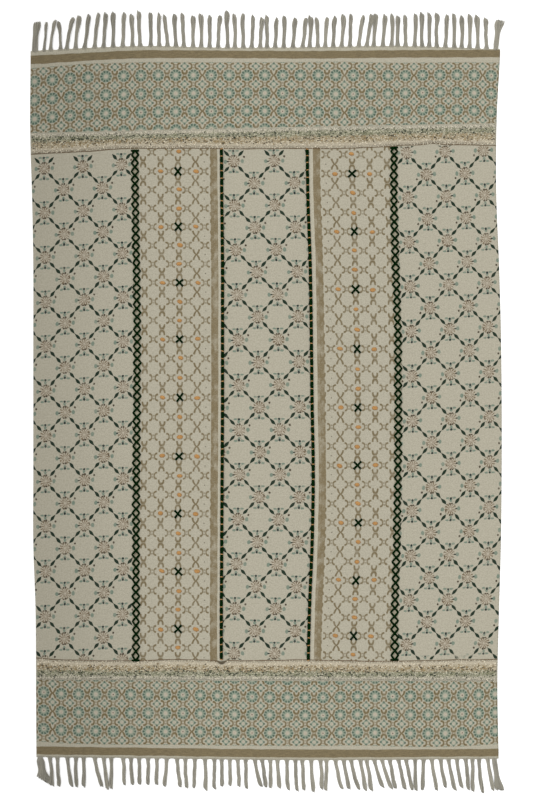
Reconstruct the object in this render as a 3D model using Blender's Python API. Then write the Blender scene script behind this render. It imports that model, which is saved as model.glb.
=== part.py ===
"""Dhurrie rug: a flat woven cotton rug, 1.2 m by 1.8 m, with a knotted fringe at each end.

The cloth lies flat with its underside on z = 0 and its long side along Y. Across it run two
tufted bands, and along it run two rows of crossed chain embroidery and two couched cords.
Every piece is laid out on an even rug, in metres across and along, and lay_out() then moves it
to where the uneven, hand-made rug really lies.
"""
import bisect
import math
import random
from collections import namedtuple

import bmesh
import bpy

# Driving dimensions of the even rug, in metres.
CLOTH_WIDTH = 1.200
FRINGE_ROOT_ALONG = 0.919       # from the rug's middle to the roots of each fringe
PILE_OUTER_ALONG = 0.7135       # to the outer edge of each tufted band
FIELD_END_ALONG = 0.662         # to the seam where the tufted band meets the field
CHAIN_ACROSS = 0.335            # from the rug's middle to each chain embroidery row
CORD_ACROSS = 0.115             # to each couched cord
RUG_MIDDLE_Y = -0.006           # the uneven fringes put the rug's middle off the origin

CLOTH_THICK = 0.003
TOUCH_GAP = 0.0003              # what two resting pieces keep between them
TRIM_BOTTOM = CLOTH_THICK + TOUCH_GAP
END_STEPS = 12                  # straight stretches along an end of the cloth
SIDE_STEPS = 30                 # and along a side of it

PILE_HEIGHT = 0.0060
PILE_RIM_HEIGHT = 0.0035
PILE_LUMP = 0.0011
PILE_INSET = 0.002
PILE_CELLS_ACROSS = 80
PILE_CELLS_ALONG = 5

TRIM_HALF_LENGTH = 0.655        # the embroidery stops just short of the tufted bands
CHAIN_LINKS = 61
CHAIN_HALF_WIDTH = 0.0100
CHAIN_YARN = 0.0040
CHAIN_HEIGHT = 0.0028
COUCHING_BANDS = 68
CORD_WIDTH = 0.0080
CORD_HEIGHT = 0.0050
CORD_PINCH = 0.74               # the cord's width under a couching stitch, as a share

FRINGE_STRIP = 0.006            # the strip that holds the locks' roots
LOCK_HEIGHT = 0.0062
LOCK_FOOT = 0.010               # the flat stretch where a lock leaves the strip
LOCK_RUN = 0.075                # the rounded stretch beyond it
TIP_CLEARANCE = 0.0020          # the least gap between two locks' tips
BOW_SCATTER = 0.0015            # how unevenly the locks bow

# How far the hand-made rug strays from the even one at a distance along it: in millimetres,
# at its edges, chain rows and couched cords.
Drift = namedtuple("Drift", "along left_edge left_chain left_cord "
                            "right_cord right_chain right_edge")
DRIFT_STATIONS = (-CLOTH_WIDTH / 2, -CHAIN_ACROSS, -CORD_ACROSS,
                  CORD_ACROSS, CHAIN_ACROSS, CLOTH_WIDTH / 2)
SIDEWAYS_DRIFT = (
    Drift(-0.90, 3, -4, -4, -7, -6, -5),
    Drift(-0.72, 2, -6, -5, -11, -8, -8),
    Drift(-0.54, 1, -5, -5, -8, -8, -4),
    Drift(-0.36, -5, -5, -4, -1, -3, 1),
    Drift(-0.18, -5, -4, -3, 2, 0, 3),
    Drift(0.00, -5, -3, -2, -1, 1, 3),
    Drift(0.18, -5, -2, -2, -3, 0, 1),
    Drift(0.36, -5, -4, -2, -6, -6, -4),
    Drift(0.54, -8, -7, -4, -12, -10, -11),
    Drift(0.72, -13, -8, -5, -13, -9, -10),
    Drift(0.90, -12, -9, -6, -8, -5, -1),
)
LENGTHWAYS_DRIFT = (
    Drift(-FRINGE_ROOT_ALONG, 7, 4, 1, -1, 0, 3),
    Drift(-PILE_OUTER_ALONG, 2, 1, 0, -1, -1, -2),
    Drift(-FIELD_END_ALONG, 5, 2, -1, 0, 1, 4),
    Drift(FIELD_END_ALONG, -14, -1, 0, 4, 9, 6),
    Drift(PILE_OUTER_ALONG, -14, -8, -3, 2, 6, 11),
    Drift(FRINGE_ROOT_ALONG, -7, 6, 2, 3, 6, -2),
)

# A fringe's locks from left to right, in millimetres: how far each root lies from the rug's
# middle, how far its tip leans to the right, and its length.
Lock = namedtuple("Lock", "root lean length")
TOP_LOCKS = (
    Lock(-601, 6, 75), Lock(-578, 7, 73), Lock(-560, 11, 77), Lock(-535, -7, 72),
    Lock(-519, 18, 81), Lock(-496, 9, 85), Lock(-473, 12, 87), Lock(-447, 12, 88),
    Lock(-424, 6, 88), Lock(-399, 1, 89), Lock(-374, 4, 87), Lock(-349, -2, 82),
    Lock(-329, -5, 90), Lock(-302, -2, 86), Lock(-280, 0, 84), Lock(-259, -7, 80),
    Lock(-237, -4, 83), Lock(-217, -3, 85), Lock(-193, 0, 80), Lock(-172, -2, 86),
    Lock(-150, 1, 82), Lock(-128, 6, 82), Lock(-104, -1, 94), Lock(-85, -2, 87),
    Lock(-63, 0, 87), Lock(-42, 5, 81), Lock(-20, 6, 76), Lock(-2, -1, 82),
    Lock(19, 6, 75), Lock(41, 2, 81), Lock(65, 7, 75), Lock(90, 10, 75),
    Lock(108, 2, 79), Lock(129, -3, 75), Lock(148, 6, 76), Lock(169, 6, 78),
    Lock(190, 5, 82), Lock(212, 3, 83), Lock(235, 13, 79), Lock(255, 13, 82),
    Lock(273, 2, 83), Lock(297, 5, 80), Lock(319, 2, 81), Lock(335, 1, 77),
    Lock(355, 0, 79), Lock(379, 1, 83), Lock(398, -1, 87), Lock(416, -1, 87),
    Lock(436, 0, 87), Lock(458, 5, 84), Lock(481, -2, 87), Lock(500, 0, 82),
    Lock(520, 0, 86), Lock(541, -1, 84), Lock(564, -2, 78), Lock(588, 13, 74),
)
BOTTOM_LOCKS = (
    Lock(-588, 10, 61), Lock(-562, 3, 73), Lock(-543, 4, 75), Lock(-517, 11, 74),
    Lock(-495, 1, 75), Lock(-475, 0, 75), Lock(-446, 17, 74), Lock(-423, 9, 81),
    Lock(-404, -3, 79), Lock(-373, 3, 69), Lock(-353, 3, 68), Lock(-332, 0, 67),
    Lock(-309, -1, 67), Lock(-286, -1, 67), Lock(-261, -6, 71), Lock(-234, 7, 72),
    Lock(-213, 4, 74), Lock(-188, -4, 74), Lock(-162, 2, 79), Lock(-138, 1, 76),
    Lock(-119, -1, 69), Lock(-98, 0, 68), Lock(-78, 3, 69), Lock(-57, 3, 74),
    Lock(-33, 16, 69), Lock(-15, 11, 71), Lock(6, -2, 72), Lock(25, 5, 72),
    Lock(49, 5, 77), Lock(71, 5, 79), Lock(89, 4, 77), Lock(112, 5, 81),
    Lock(136, 3, 74), Lock(151, -1, 78), Lock(175, 18, 74), Lock(196, 14, 74),
    Lock(215, 20, 75), Lock(239, 13, 78), Lock(255, 14, 79), Lock(275, 22, 70),
    Lock(295, 24, 74), Lock(315, 14, 73), Lock(337, 18, 76), Lock(357, 15, 78),
    Lock(380, 3, 79), Lock(402, -4, 78), Lock(423, 12, 79), Lock(446, 12, 72),
    Lock(466, 17, 79), Lock(488, 14, 74), Lock(510, 8, 79), Lock(528, 0, 83),
    Lock(545, 9, 87), Lock(567, 14, 81), Lock(584, 15, 81),
)
# The widths of a lock, and how far its tip's right corner reaches past its middle, in
# millimetres. Odd locks are counted from the left of their end, and -1 is the last one.
LockShape = namedtuple("LockShape", "root body tip slant")
PLAIN_LOCK = {1: LockShape(13, 9.8, 8.5, -2), -1: LockShape(12, 9.6, 8.5, 1.5)}
ODD_LOCKS = {
    (1, 0): LockShape(15, 15, 18, 1),
    (1, 1): LockShape(9, 7, 6, 0),
    (1, 2): LockShape(11, 8, 8, 2),
    (1, 3): LockShape(11, 8, 8, -1),
    (1, -1): LockShape(12, 14, 24, -2),
    (-1, 0): LockShape(12, 19, 34, 13),
    (-1, -1): LockShape(12, 13, 22, 1),
}

COTTON_CREAM = (0.439, 0.410, 0.320)
PILE_CREAM = (0.360, 0.330, 0.240)
FRINGE_CREAM = (0.348, 0.334, 0.284)
YARN_GREEN = (0.010, 0.022, 0.009)

MM_PER_M = 1000
WELD_DISTANCE = 0.00001
LEAN_CURVE = 1.25               # over 1, a lock leaves the strip straight and then leans
LaidLock = namedtuple("LaidLock", "root_x root_y tip_x tip_y bow root_width width tip_width slant")


def smooth_between(stops, values, at):
    """Read a value off the smooth curve through a table's stops."""
    last = len(stops) - 1
    at = min(max(at, stops[0]), stops[last])
    i = min(bisect.bisect_right(stops, at) - 1, last - 1)
    before, after = max(i - 1, 0), min(i + 2, last)
    span = stops[i + 1] - stops[i]
    slope_in = (values[i + 1] - values[before]) / (stops[i + 1] - stops[before]) * span
    slope_out = (values[after] - values[i]) / (stops[after] - stops[i]) * span
    t = (at - stops[i]) / span
    rise = values[i + 1] - values[i]
    return (values[i] + t * (slope_in + t * (3 * rise - 2 * slope_in - slope_out
            + t * (slope_in + slope_out - 2 * rise))))


def drift(table, across, along):
    """How far a table of millimetre shifts moves a point of the even rug, in metres."""
    stops, *columns = zip(*table)
    shifts = [smooth_between(stops, column, along) for column in columns]
    return smooth_between(DRIFT_STATIONS, shifts, across) / MM_PER_M


def lay_out(across, along):
    """Where a point of the even rug lies on the real one."""
    x = across + drift(SIDEWAYS_DRIFT, across, along)
    y = RUG_MIDDLE_Y + along + drift(LENGTHWAYS_DRIFT, across, along)
    return x, y


def spread(low, high, steps):
    """Evenly spaced values from low to high, both ends included."""
    return [low + (high - low) * i / steps for i in range(steps + 1)]


def plain_material(name, colour, roughness):
    material = bpy.data.materials.new(name)
    material.use_nodes = True
    shader = material.node_tree.nodes["Principled BSDF"]
    shader.inputs["Base Color"].default_value = (*colour, 1)
    shader.inputs["Roughness"].default_value = roughness
    shader.inputs["Metallic"].default_value = 0
    return material


def add_object(name, data, colour, roughness=0.9):
    piece = bpy.data.objects.new(name, data)
    data.materials.append(plain_material(name, colour, roughness))
    rug.objects.link(piece)
    return piece


def flat_curve(name, outlines, thickness):
    """A flat plate: the first closed outline is its rim, and the others are its holes."""
    curve = bpy.data.curves.new(name, "CURVE")
    curve.dimensions = "2D"
    curve.fill_mode = "BOTH"
    curve.extrude = thickness / 2
    for outline in outlines:
        spline = curve.splines.new("POLY")
        spline.points.add(len(outline) - 1)
        for point, (x, y) in zip(spline.points, outline):
            point.co = (x, y, 0, 1)
        spline.use_cyclic_u = True
    return curve


def across_end(end, inward):
    """Points across an end of the rug, from left to right, this far inside the fringe's roots."""
    roots = [lay_out(across, end * FRINGE_ROOT_ALONG)
             for across in spread(-CLOTH_WIDTH / 2, CLOTH_WIDTH / 2, END_STEPS)]
    return [(x, y - end * inward) for x, y in roots]


def make_cloth():
    """The woven cloth: a flat sheet with the rug's own uneven edges."""
    side_end = SIDEWAYS_DRIFT[-1].along
    stops = spread(-side_end, side_end, SIDE_STEPS)
    rim = across_end(-1, FRINGE_STRIP + TOUCH_GAP)
    rim += [lay_out(CLOTH_WIDTH / 2, along) for along in stops]
    rim += reversed(across_end(1, FRINGE_STRIP + TOUCH_GAP))
    rim += [lay_out(-CLOTH_WIDTH / 2, along) for along in reversed(stops)]
    cloth = add_object("rug_cloth", flat_curve("rug_cloth", [rim], CLOTH_THICK), COTTON_CREAM)
    cloth.location.z = CLOTH_THICK / 2


def make_pile_band(name, end):
    """A tufted band: a lumpy slab of cut pile, lower at its rim, that lies on the cloth."""
    rng = random.Random(name)
    mesh = bpy.data.meshes.new(name)
    bm = bmesh.new()
    bmesh.ops.create_grid(bm, x_segments=PILE_CELLS_ACROSS, y_segments=PILE_CELLS_ALONG, size=1)
    half_width = CLOTH_WIDTH / 2 - PILE_INSET
    half_depth = (PILE_OUTER_ALONG - FIELD_END_ALONG) / 2 - PILE_INSET
    middle = (PILE_OUTER_ALONG + FIELD_END_ALONG) / 2
    for vert in bm.verts:
        rim = max(abs(vert.co.x), abs(vert.co.y)) > 0.999
        height = PILE_RIM_HEIGHT if rim else PILE_HEIGHT
        vert.co.x, vert.co.y = lay_out(vert.co.x * half_width, end * middle + vert.co.y * half_depth)
        vert.co.z = TRIM_BOTTOM + height + rng.uniform(-1, 1) * PILE_LUMP
    rim_edges = [edge for edge in bm.edges if edge.is_boundary]
    for part in bmesh.ops.extrude_edge_only(bm, edges=rim_edges)["geom"]:
        if isinstance(part, bmesh.types.BMVert):
            part.co.z = TRIM_BOTTOM
    bmesh.ops.contextual_create(bm, geom=[edge for edge in bm.edges if edge.is_boundary])
    bmesh.ops.recalc_face_normals(bm, faces=bm.faces)
    bm.to_mesh(mesh)
    bm.free()
    add_object(name, mesh, PILE_CREAM, 0.95)


def make_chain_row(name, side):
    """Crossed chain embroidery: a row of open diamonds in thick yarn, raised on the cloth."""
    centre = side * CHAIN_ACROSS
    half_link = TRIM_HALF_LENGTH / CHAIN_LINKS
    reach = CHAIN_HALF_WIDTH - CHAIN_YARN / 2
    slant = math.hypot(reach, half_link)
    yarn_across = CHAIN_YARN / 2 * slant / half_link
    yarn_along = CHAIN_YARN / 2 * slant / reach
    crossings = spread(-TRIM_HALF_LENGTH, TRIM_HALF_LENGTH, CHAIN_LINKS)
    sides = []
    for i, along in enumerate(crossings):
        sides.append((yarn_across, along))
        if i < CHAIN_LINKS:
            sides.append((reach + yarn_across, along + half_link))
    rim = [lay_out(centre + across, along) for across, along in sides]
    rim += [lay_out(centre - across, along) for across, along in reversed(sides)]
    holes = []
    for along in crossings[:-1]:
        middle = along + half_link
        hole = ((reach - yarn_across, 0), (0, half_link - yarn_along),
                (yarn_across - reach, 0), (0, yarn_along - half_link))
        holes.append([lay_out(centre + dx, middle + dy) for dx, dy in hole])
    chain = add_object(name, flat_curve(name, [rim] + holes, CHAIN_HEIGHT), YARN_GREEN)
    chain.location.z = TRIM_BOTTOM + CHAIN_HEIGHT / 2


def make_couched_cord(name, side):
    """A laid cord, pinched wherever a couching stitch ties it down."""
    curve = bpy.data.curves.new(name, "CURVE")
    curve.dimensions = "3D"
    curve.bevel_depth = CORD_WIDTH / 2
    curve.bevel_resolution = 0
    curve.use_fill_caps = True
    stops = spread(-TRIM_HALF_LENGTH, TRIM_HALF_LENGTH, 2 * COUCHING_BANDS)
    spline = curve.splines.new("POLY")
    spline.points.add(len(stops) - 1)
    for i, (point, along) in enumerate(zip(spline.points, stops)):
        point.co = (*lay_out(side * CORD_ACROSS, along), 0, 1)
        point.radius = 1 if i % 2 else CORD_PINCH
    cord = add_object(name, curve, YARN_GREEN)
    cord.scale.z = CORD_HEIGHT / CORD_WIDTH
    cord.location.z = TRIM_BOTTOM + CORD_HEIGHT / 2


def lay_locks(end):
    """Where each lock of a fringe lies, in metres, from its left to its right."""
    rng = random.Random(7 + end)
    locks = TOP_LOCKS if end > 0 else BOTTOM_LOCKS
    tip_limit = -CLOTH_WIDTH
    laid = []
    for i, lock in enumerate(locks):
        number = -1 if i == len(locks) - 1 else i
        sizes = [size / MM_PER_M for size in ODD_LOCKS.get((end, number), PLAIN_LOCK[end])]
        root_x = lock.root / MM_PER_M
        root_y = lay_out(root_x, end * FRINGE_ROOT_ALONG)[1]
        half_tip = sizes[2] / 2
        tip_x = max(root_x + lock.lean / MM_PER_M, tip_limit + half_tip)
        tip_limit = tip_x + half_tip + TIP_CLEARANCE
        laid.append(LaidLock(root_x, root_y, tip_x, root_y + end * lock.length / MM_PER_M,
                             rng.uniform(-BOW_SCATTER, BOW_SCATTER), *sizes))
    return laid


def lock_outline(lock, end):
    """One lock's outline, out along its left side and back along its right one."""
    stops = ((0, lock.root_width, 0), (0.25, lock.width, 1),
             (0.65, lock.width, 1), (1, lock.tip_width, 0))
    left, right = [], []
    for share, width, bow_share in stops:
        x = (lock.root_x + (lock.tip_x - lock.root_x) * share ** LEAN_CURVE
             + lock.bow * bow_share)
        y = lock.root_y + (lock.tip_y - lock.root_y) * share
        slant = end * lock.slant if share == 1 else 0
        left.append((x - width / 2, y - slant))
        right.append((x + width / 2, y + slant))
    return left + right[::-1]


def make_fringe(name, end):
    """A fringe: flat twisted locks that lie on the floor, their roots held in a narrow strip."""
    comb = [point for lock in lay_locks(end) for point in lock_outline(lock, end)]
    strip = across_end(end, FRINGE_STRIP)[::-1]
    curve = flat_curve(name, [comb + strip], LOCK_HEIGHT)
    shape = bpy.data.objects.new(name, curve)
    rug.objects.link(shape)
    bpy.context.view_layer.update()
    seen = shape.evaluated_get(bpy.context.evaluated_depsgraph_get())
    mesh = bpy.data.meshes.new_from_object(seen)
    bpy.data.objects.remove(shape)
    bpy.data.curves.remove(curve)
    run_start = abs(RUG_MIDDLE_Y + end * FRINGE_ROOT_ALONG) + LOCK_FOOT
    bm = bmesh.new()
    bm.from_mesh(mesh)
    bmesh.ops.remove_doubles(bm, verts=bm.verts, dist=WELD_DISTANCE)
    for vert in bm.verts:
        share = min(max(abs(vert.co.y) - run_start, 0) / LOCK_RUN, 1)
        swell = math.sin(math.pi * share) ** 0.5
        top = CLOTH_THICK + (LOCK_HEIGHT - CLOTH_THICK) * swell
        vert.co.z = top if vert.co.z > 0 else 0
    bm.to_mesh(mesh)
    bm.free()
    mesh.name = name
    add_object(name, mesh, FRINGE_CREAM, 0.95)


for old in list(bpy.data.objects):
    bpy.data.objects.remove(old)

rug = bpy.data.collections.new("dhurrie_rug")
bpy.context.scene.collection.children.link(rug)

make_cloth()
make_pile_band("pile_band_top", 1)
make_pile_band("pile_band_bottom", -1)
make_chain_row("chain_row_left", -1)
make_chain_row("chain_row_right", 1)
make_couched_cord("couched_cord_left", -1)
make_couched_cord("couched_cord_right", 1)
make_fringe("fringe_top", 1)
make_fringe("fringe_bottom", -1)
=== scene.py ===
"""Looks of the dhurrie rug: its printed flat weave, tufted bands, embroidery and twisted fringe.

Everything is laid out on an even rug, in metres across and along it, and lay_out() moves it to
where the uneven, hand-made rug lies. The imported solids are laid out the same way, but for the
strays and tucks of the seams, which are too fine for them.
"""
import bisect
import math
import random
from collections import namedtuple

import bmesh
import bpy
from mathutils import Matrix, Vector, noise


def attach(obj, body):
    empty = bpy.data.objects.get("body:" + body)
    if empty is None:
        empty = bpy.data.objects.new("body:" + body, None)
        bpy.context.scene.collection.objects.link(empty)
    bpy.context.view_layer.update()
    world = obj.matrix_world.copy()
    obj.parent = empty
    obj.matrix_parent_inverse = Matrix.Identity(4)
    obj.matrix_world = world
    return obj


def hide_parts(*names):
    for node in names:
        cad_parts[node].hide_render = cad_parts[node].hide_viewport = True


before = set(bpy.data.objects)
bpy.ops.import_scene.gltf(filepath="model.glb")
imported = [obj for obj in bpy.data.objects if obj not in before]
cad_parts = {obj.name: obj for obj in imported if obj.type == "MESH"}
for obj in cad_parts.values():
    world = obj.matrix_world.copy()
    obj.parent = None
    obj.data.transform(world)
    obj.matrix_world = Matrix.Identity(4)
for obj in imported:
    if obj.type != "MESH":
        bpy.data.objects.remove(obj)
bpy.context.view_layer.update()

# The even rug, in metres, as the solids have it.
CLOTH_WIDTH = 1.200
FRINGE_ROOT_ALONG = 0.919
STRIPE_OUTER_ALONG = 0.912      # the brown stripe woven across each end
STRIPE_INNER_ALONG = 0.891
PRINT_OUTER_ALONG = 0.882       # the printed border
PILE_OUTER_ALONG = 0.7135
SEAM_CLOTH_ALONG = 0.672        # the field's cloth runs this far, under the tufts
FIELD_END_ALONG = 0.662
CHAIN_ACROSS = 0.335
CORD_ACROSS = 0.115
RUG_MIDDLE_Y = -0.006
MM_PER_M = 1000

Drift = namedtuple("Drift", "along left_edge left_chain left_cord "
                            "right_cord right_chain right_edge")
DRIFT_STATIONS = (-CLOTH_WIDTH / 2, -CHAIN_ACROSS, -CORD_ACROSS,
                  CORD_ACROSS, CHAIN_ACROSS, CLOTH_WIDTH / 2)
SIDEWAYS_DRIFT = (
    Drift(-0.90, 3, -4, -4, -7, -6, -5),
    Drift(-0.72, 2, -6, -5, -11, -8, -8),
    Drift(-0.54, 1, -5, -5, -8, -8, -4),
    Drift(-0.36, -5, -5, -4, -1, -3, 1),
    Drift(-0.18, -5, -4, -3, 2, 0, 3),
    Drift(0.00, -5, -3, -2, -1, 1, 3),
    Drift(0.18, -5, -2, -2, -3, 0, 1),
    Drift(0.36, -5, -4, -2, -6, -6, -4),
    Drift(0.54, -8, -7, -4, -12, -10, -11),
    Drift(0.72, -13, -8, -5, -13, -9, -10),
    Drift(0.90, -12, -9, -6, -8, -5, -1),
)
LENGTHWAYS_DRIFT = (
    Drift(-FRINGE_ROOT_ALONG, 7, 4, 1, -1, 0, 3),
    Drift(-STRIPE_OUTER_ALONG, 7, 4, 1, -1, 0, 2),
    Drift(-STRIPE_INNER_ALONG, 8, 5, 2, 0, 0, 2),
    Drift(-PRINT_OUTER_ALONG, 4, 3, 1, 0, 0, -2),
    Drift(-PILE_OUTER_ALONG, 2, 1, 0, -1, -1, -2),
    Drift(-FIELD_END_ALONG, 5, 2, -1, 0, 1, 4),
    Drift(FIELD_END_ALONG, -14, -1, 0, 4, 9, 6),
    Drift(PILE_OUTER_ALONG, -14, -8, -3, 2, 6, 11),
    Drift(PRINT_OUTER_ALONG, -14, -1, 1, 1, 2, 3),
    Drift(STRIPE_INNER_ALONG, -15, 0, 1, 0, 2, 3),
    Drift(STRIPE_OUTER_ALONG, -12, 1, 1, 0, 2, 3),
    Drift(FRINGE_ROOT_ALONG, -7, 6, 2, 3, 6, -2),
)

# How far the seams between the field and the tufted bands stray outwards, in millimetres, at
# stops across the rug; their bands are sewn along them.
SeamStray = namedtuple("SeamStray", "across bottom top")
SEAM_STRAYS = (
    SeamStray(-0.600, -1.0, -2.0), SeamStray(-0.550, 2.8, -2.2), SeamStray(-0.460, 4.4, -2.5),
    SeamStray(-0.387, 4.2, 0.0), SeamStray(-0.309, 3.0, -0.8), SeamStray(-0.270, 0.3, -1.8),
    SeamStray(-0.195, -0.8, -0.6), SeamStray(-0.115, 0.0, -2.0), SeamStray(0.000, 0.5, -3.4),
    SeamStray(0.090, -0.8, -4.6), SeamStray(0.150, 0.5, -6.8), SeamStray(0.200, 1.3, -7.5),
    SeamStray(0.260, 3.5, -7.0), SeamStray(0.310, 3.5, -5.5), SeamStray(0.370, 3.4, -2.0),
    SeamStray(0.430, 3.0, -0.6), SeamStray(0.500, 1.5, 1.2), SeamStray(0.600, 2.8, 0.0),
)
SEAM_EASE = 0.025               # how far from a seam its strays are gone

# The fringe, as the solids have it.
TIP_CLEARANCE = 0.0020
BOW_SCATTER = 0.0015
LEAN_CURVE = 1.25
# A fringe's locks from left to right, in millimetres: how far each root lies from the rug's
# middle, how far its tip leans to the right, and its length.
Lock = namedtuple("Lock", "root lean length")
TOP_LOCKS = (
    Lock(-601, 6, 75), Lock(-578, 7, 73), Lock(-560, 11, 77), Lock(-535, -7, 72),
    Lock(-519, 18, 81), Lock(-496, 9, 85), Lock(-473, 12, 87), Lock(-447, 12, 88),
    Lock(-424, 6, 88), Lock(-399, 1, 89), Lock(-374, 4, 87), Lock(-349, -2, 82),
    Lock(-329, -5, 90), Lock(-302, -2, 86), Lock(-280, 0, 84), Lock(-259, -7, 80),
    Lock(-237, -4, 83), Lock(-217, -3, 85), Lock(-193, 0, 80), Lock(-172, -2, 86),
    Lock(-150, 1, 82), Lock(-128, 6, 82), Lock(-104, -1, 94), Lock(-85, -2, 87),
    Lock(-63, 0, 87), Lock(-42, 5, 81), Lock(-20, 6, 76), Lock(-2, -1, 82),
    Lock(19, 6, 75), Lock(41, 2, 81), Lock(65, 7, 75), Lock(90, 10, 75),
    Lock(108, 2, 79), Lock(129, -3, 75), Lock(148, 6, 76), Lock(169, 6, 78),
    Lock(190, 5, 82), Lock(212, 3, 83), Lock(235, 13, 79), Lock(255, 13, 82),
    Lock(273, 2, 83), Lock(297, 5, 80), Lock(319, 2, 81), Lock(335, 1, 77),
    Lock(355, 0, 79), Lock(379, 1, 83), Lock(398, -1, 87), Lock(416, -1, 87),
    Lock(436, 0, 87), Lock(458, 5, 84), Lock(481, -2, 87), Lock(500, 0, 82),
    Lock(520, 0, 86), Lock(541, -1, 84), Lock(564, -2, 78), Lock(588, 13, 74),
)
BOTTOM_LOCKS = (
    Lock(-588, 10, 61), Lock(-562, 3, 73), Lock(-543, 4, 75), Lock(-517, 11, 74),
    Lock(-495, 1, 75), Lock(-475, 0, 75), Lock(-446, 17, 74), Lock(-423, 9, 81),
    Lock(-404, -3, 79), Lock(-373, 3, 69), Lock(-353, 3, 68), Lock(-332, 0, 67),
    Lock(-309, -1, 67), Lock(-286, -1, 67), Lock(-261, -6, 71), Lock(-234, 7, 72),
    Lock(-213, 4, 74), Lock(-188, -4, 74), Lock(-162, 2, 79), Lock(-138, 1, 76),
    Lock(-119, -1, 69), Lock(-98, 0, 68), Lock(-78, 3, 69), Lock(-57, 3, 74),
    Lock(-33, 16, 69), Lock(-15, 11, 71), Lock(6, -2, 72), Lock(25, 5, 72),
    Lock(49, 5, 77), Lock(71, 5, 79), Lock(89, 4, 77), Lock(112, 5, 81),
    Lock(136, 3, 74), Lock(151, -1, 78), Lock(175, 18, 74), Lock(196, 14, 74),
    Lock(215, 20, 75), Lock(239, 13, 78), Lock(255, 14, 79), Lock(275, 22, 70),
    Lock(295, 24, 74), Lock(315, 14, 73), Lock(337, 18, 76), Lock(357, 15, 78),
    Lock(380, 3, 79), Lock(402, -4, 78), Lock(423, 12, 79), Lock(446, 12, 72),
    Lock(466, 17, 79), Lock(488, 14, 74), Lock(510, 8, 79), Lock(528, 0, 83),
    Lock(545, 9, 87), Lock(567, 14, 81), Lock(584, 15, 81),
)
# The widths of a lock, and how far its tip's right corner reaches past its middle, in
# millimetres. Odd locks are counted from the left of their end, and -1 is the last one.
LockShape = namedtuple("LockShape", "root body tip slant")
PLAIN_LOCK = {1: LockShape(13, 9.8, 8.5, -2), -1: LockShape(12, 9.6, 8.5, 1.5)}
ODD_LOCKS = {
    (1, 0): LockShape(15, 15, 18, 1),
    (1, 1): LockShape(9, 7, 6, 0),
    (1, 2): LockShape(11, 8, 8, 2),
    (1, 3): LockShape(11, 8, 8, -1),
    (1, -1): LockShape(12, 14, 24, -2),
    (-1, 0): LockShape(12, 19, 34, 13),
    (-1, -1): LockShape(12, 13, 22, 1),
}
LaidLock = namedtuple("LaidLock", "root_x root_y tip_x tip_y bow root_width width tip_width slant")

# What the solids leave out of the fringe.
YARNS_PER_LOCK = 12             # in a lock of plain width
YARN_STEPS = 15
YARN_RADIUS = 0.00125
YARN_SINK = 0.0045              # how far a lock's yarns start inside the cloth
LOCK_BODY_HEIGHT = 0.0062
LOCK_TURNS = (0.25, 0.75)       # least and most twist along a lock
TIP_RAGGED = 0.035              # how unevenly a lock's yarns end, as a share of its length
SHOULDER = {1: 1.32, -1: 1.12}  # how much a lock swells just before its tip
FULLNESS = 1.14                 # how much wider the loose yarns lie than their solid
BROAD_LOCK = 1.2                # a lock this many times as full as a plain one hardly twists
YARN_STRAY = 0.0008             # how far aside a yarn's tip strays at most
LOCK_WAVER = 0.0016
TIP_TAPER = 0.08                # a yarn thins over about this last share of its length
TIP_THINNEST = 0.35
STRAY_HAIRS = 4
HAIR_STEPS = 6
HAIR_RADIUS = 0.00022
HAIR_STRAY = 0.006
GOLDEN_ANGLE = math.pi * (3 - math.sqrt(5))

# The cloth.
CLOTH_TOP = 0.0030
CLOTH_GAUGE = 0.0026
UNDERSIDE_LIFT = 0.0001         # the cloth never dips closer to the floor than this
CELL_ACROSS = 0.0050
CELL_ALONG = 0.0120
SCALLOP = 0.0022                # how far the woven end draws back between two locks
LOCK_HALF_PITCH = 0.0107
TUCK_ROWS = (0.0085, 0.0065, 0.0045, 0.0025)    # more rows of cells, this far inside each seam
SLACK = 0.00018                 # the cloth's gentle waves
PUCKER = 0.00045                # the gathers along its seams and embroidery

# Where the cross stitches sit, from the top down, in millimetres from the rug's origin. Every
# third row of the tile print runs through them.
Crosses = namedtuple("Crosses", "left_x left_y right_x right_y")
CROSS_ROWS = (
    Crosses(-232, 594, 217, 588),
    Crosses(-231, 451, 223, 439),
    Crosses(-228, 307, 226, 290),
    Crosses(-228, 161, 230, 136),
    Crosses(-227, 11, 232, -15),
    Crosses(-229, -141, 231, -164),
    Crosses(-232, -289, 233, -312),
    Crosses(-231, -438, 227, -461),
    Crosses(-232, -586, 221, -604),
)
TILE_ROWS_PER_CROSS = 3
TILE_PITCH = 0.0450
TILE_ALONG = 0.0494

# One column of flowers in each trellis panel: where it lies, in millimetres, and the slope at
# which its rows rise to the right. Its rows are counted in half pitches.
Flowers = namedtuple("Flowers", "row left_x left_y left_rise middle_x middle_y middle_rise "
                                "right_x right_y right_rise")
FLOWER_ROWS = (
    Flowers(-12, -475, -668, 0.030, 17, -649, 0.000, 404, -682, 0.020),
    Flowers(-8, -473, -435, 0.030, 23, -420, -0.013, 416, -454, 0.021),
    Flowers(-4, -473, -202, 0.031, 31, -188, 0.000, 422, -221, 0.053),
    Flowers(0, -473, 33, 0.054, 29, 44, 0.016, 422, 11, 0.059),
    Flowers(4, -473, 263, 0.063, 25, 277, 0.013, 418, 242, 0.054),
    Flowers(8, -476, 492, 0.051, 18, 507, 0.013, 412, 471, 0.036),
    Flowers(12, -478, 721, 0.050, 15, 735, 0.013, 406, 701, 0.030),
)
FLOWER_HALF_PITCH = {"left": 0.0499, "middle": 0.0521, "right": 0.0496}
FLOWER_HALF_ALONG = 0.0577
FLOWER_BLOCK_HALF_PITCH = 0.0505    # as the flower's own shape is cut
FLOWERS_REACH = 0.668           # flowers are printed whose middles lie this near to
FLOWERS_MIDDLE_ALONG = -0.008   # this place along the rug
TRELLIS_MARGIN = 0.004          # bare cloth between each print and the seam
TILE_MARGIN = 0.001

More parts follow.
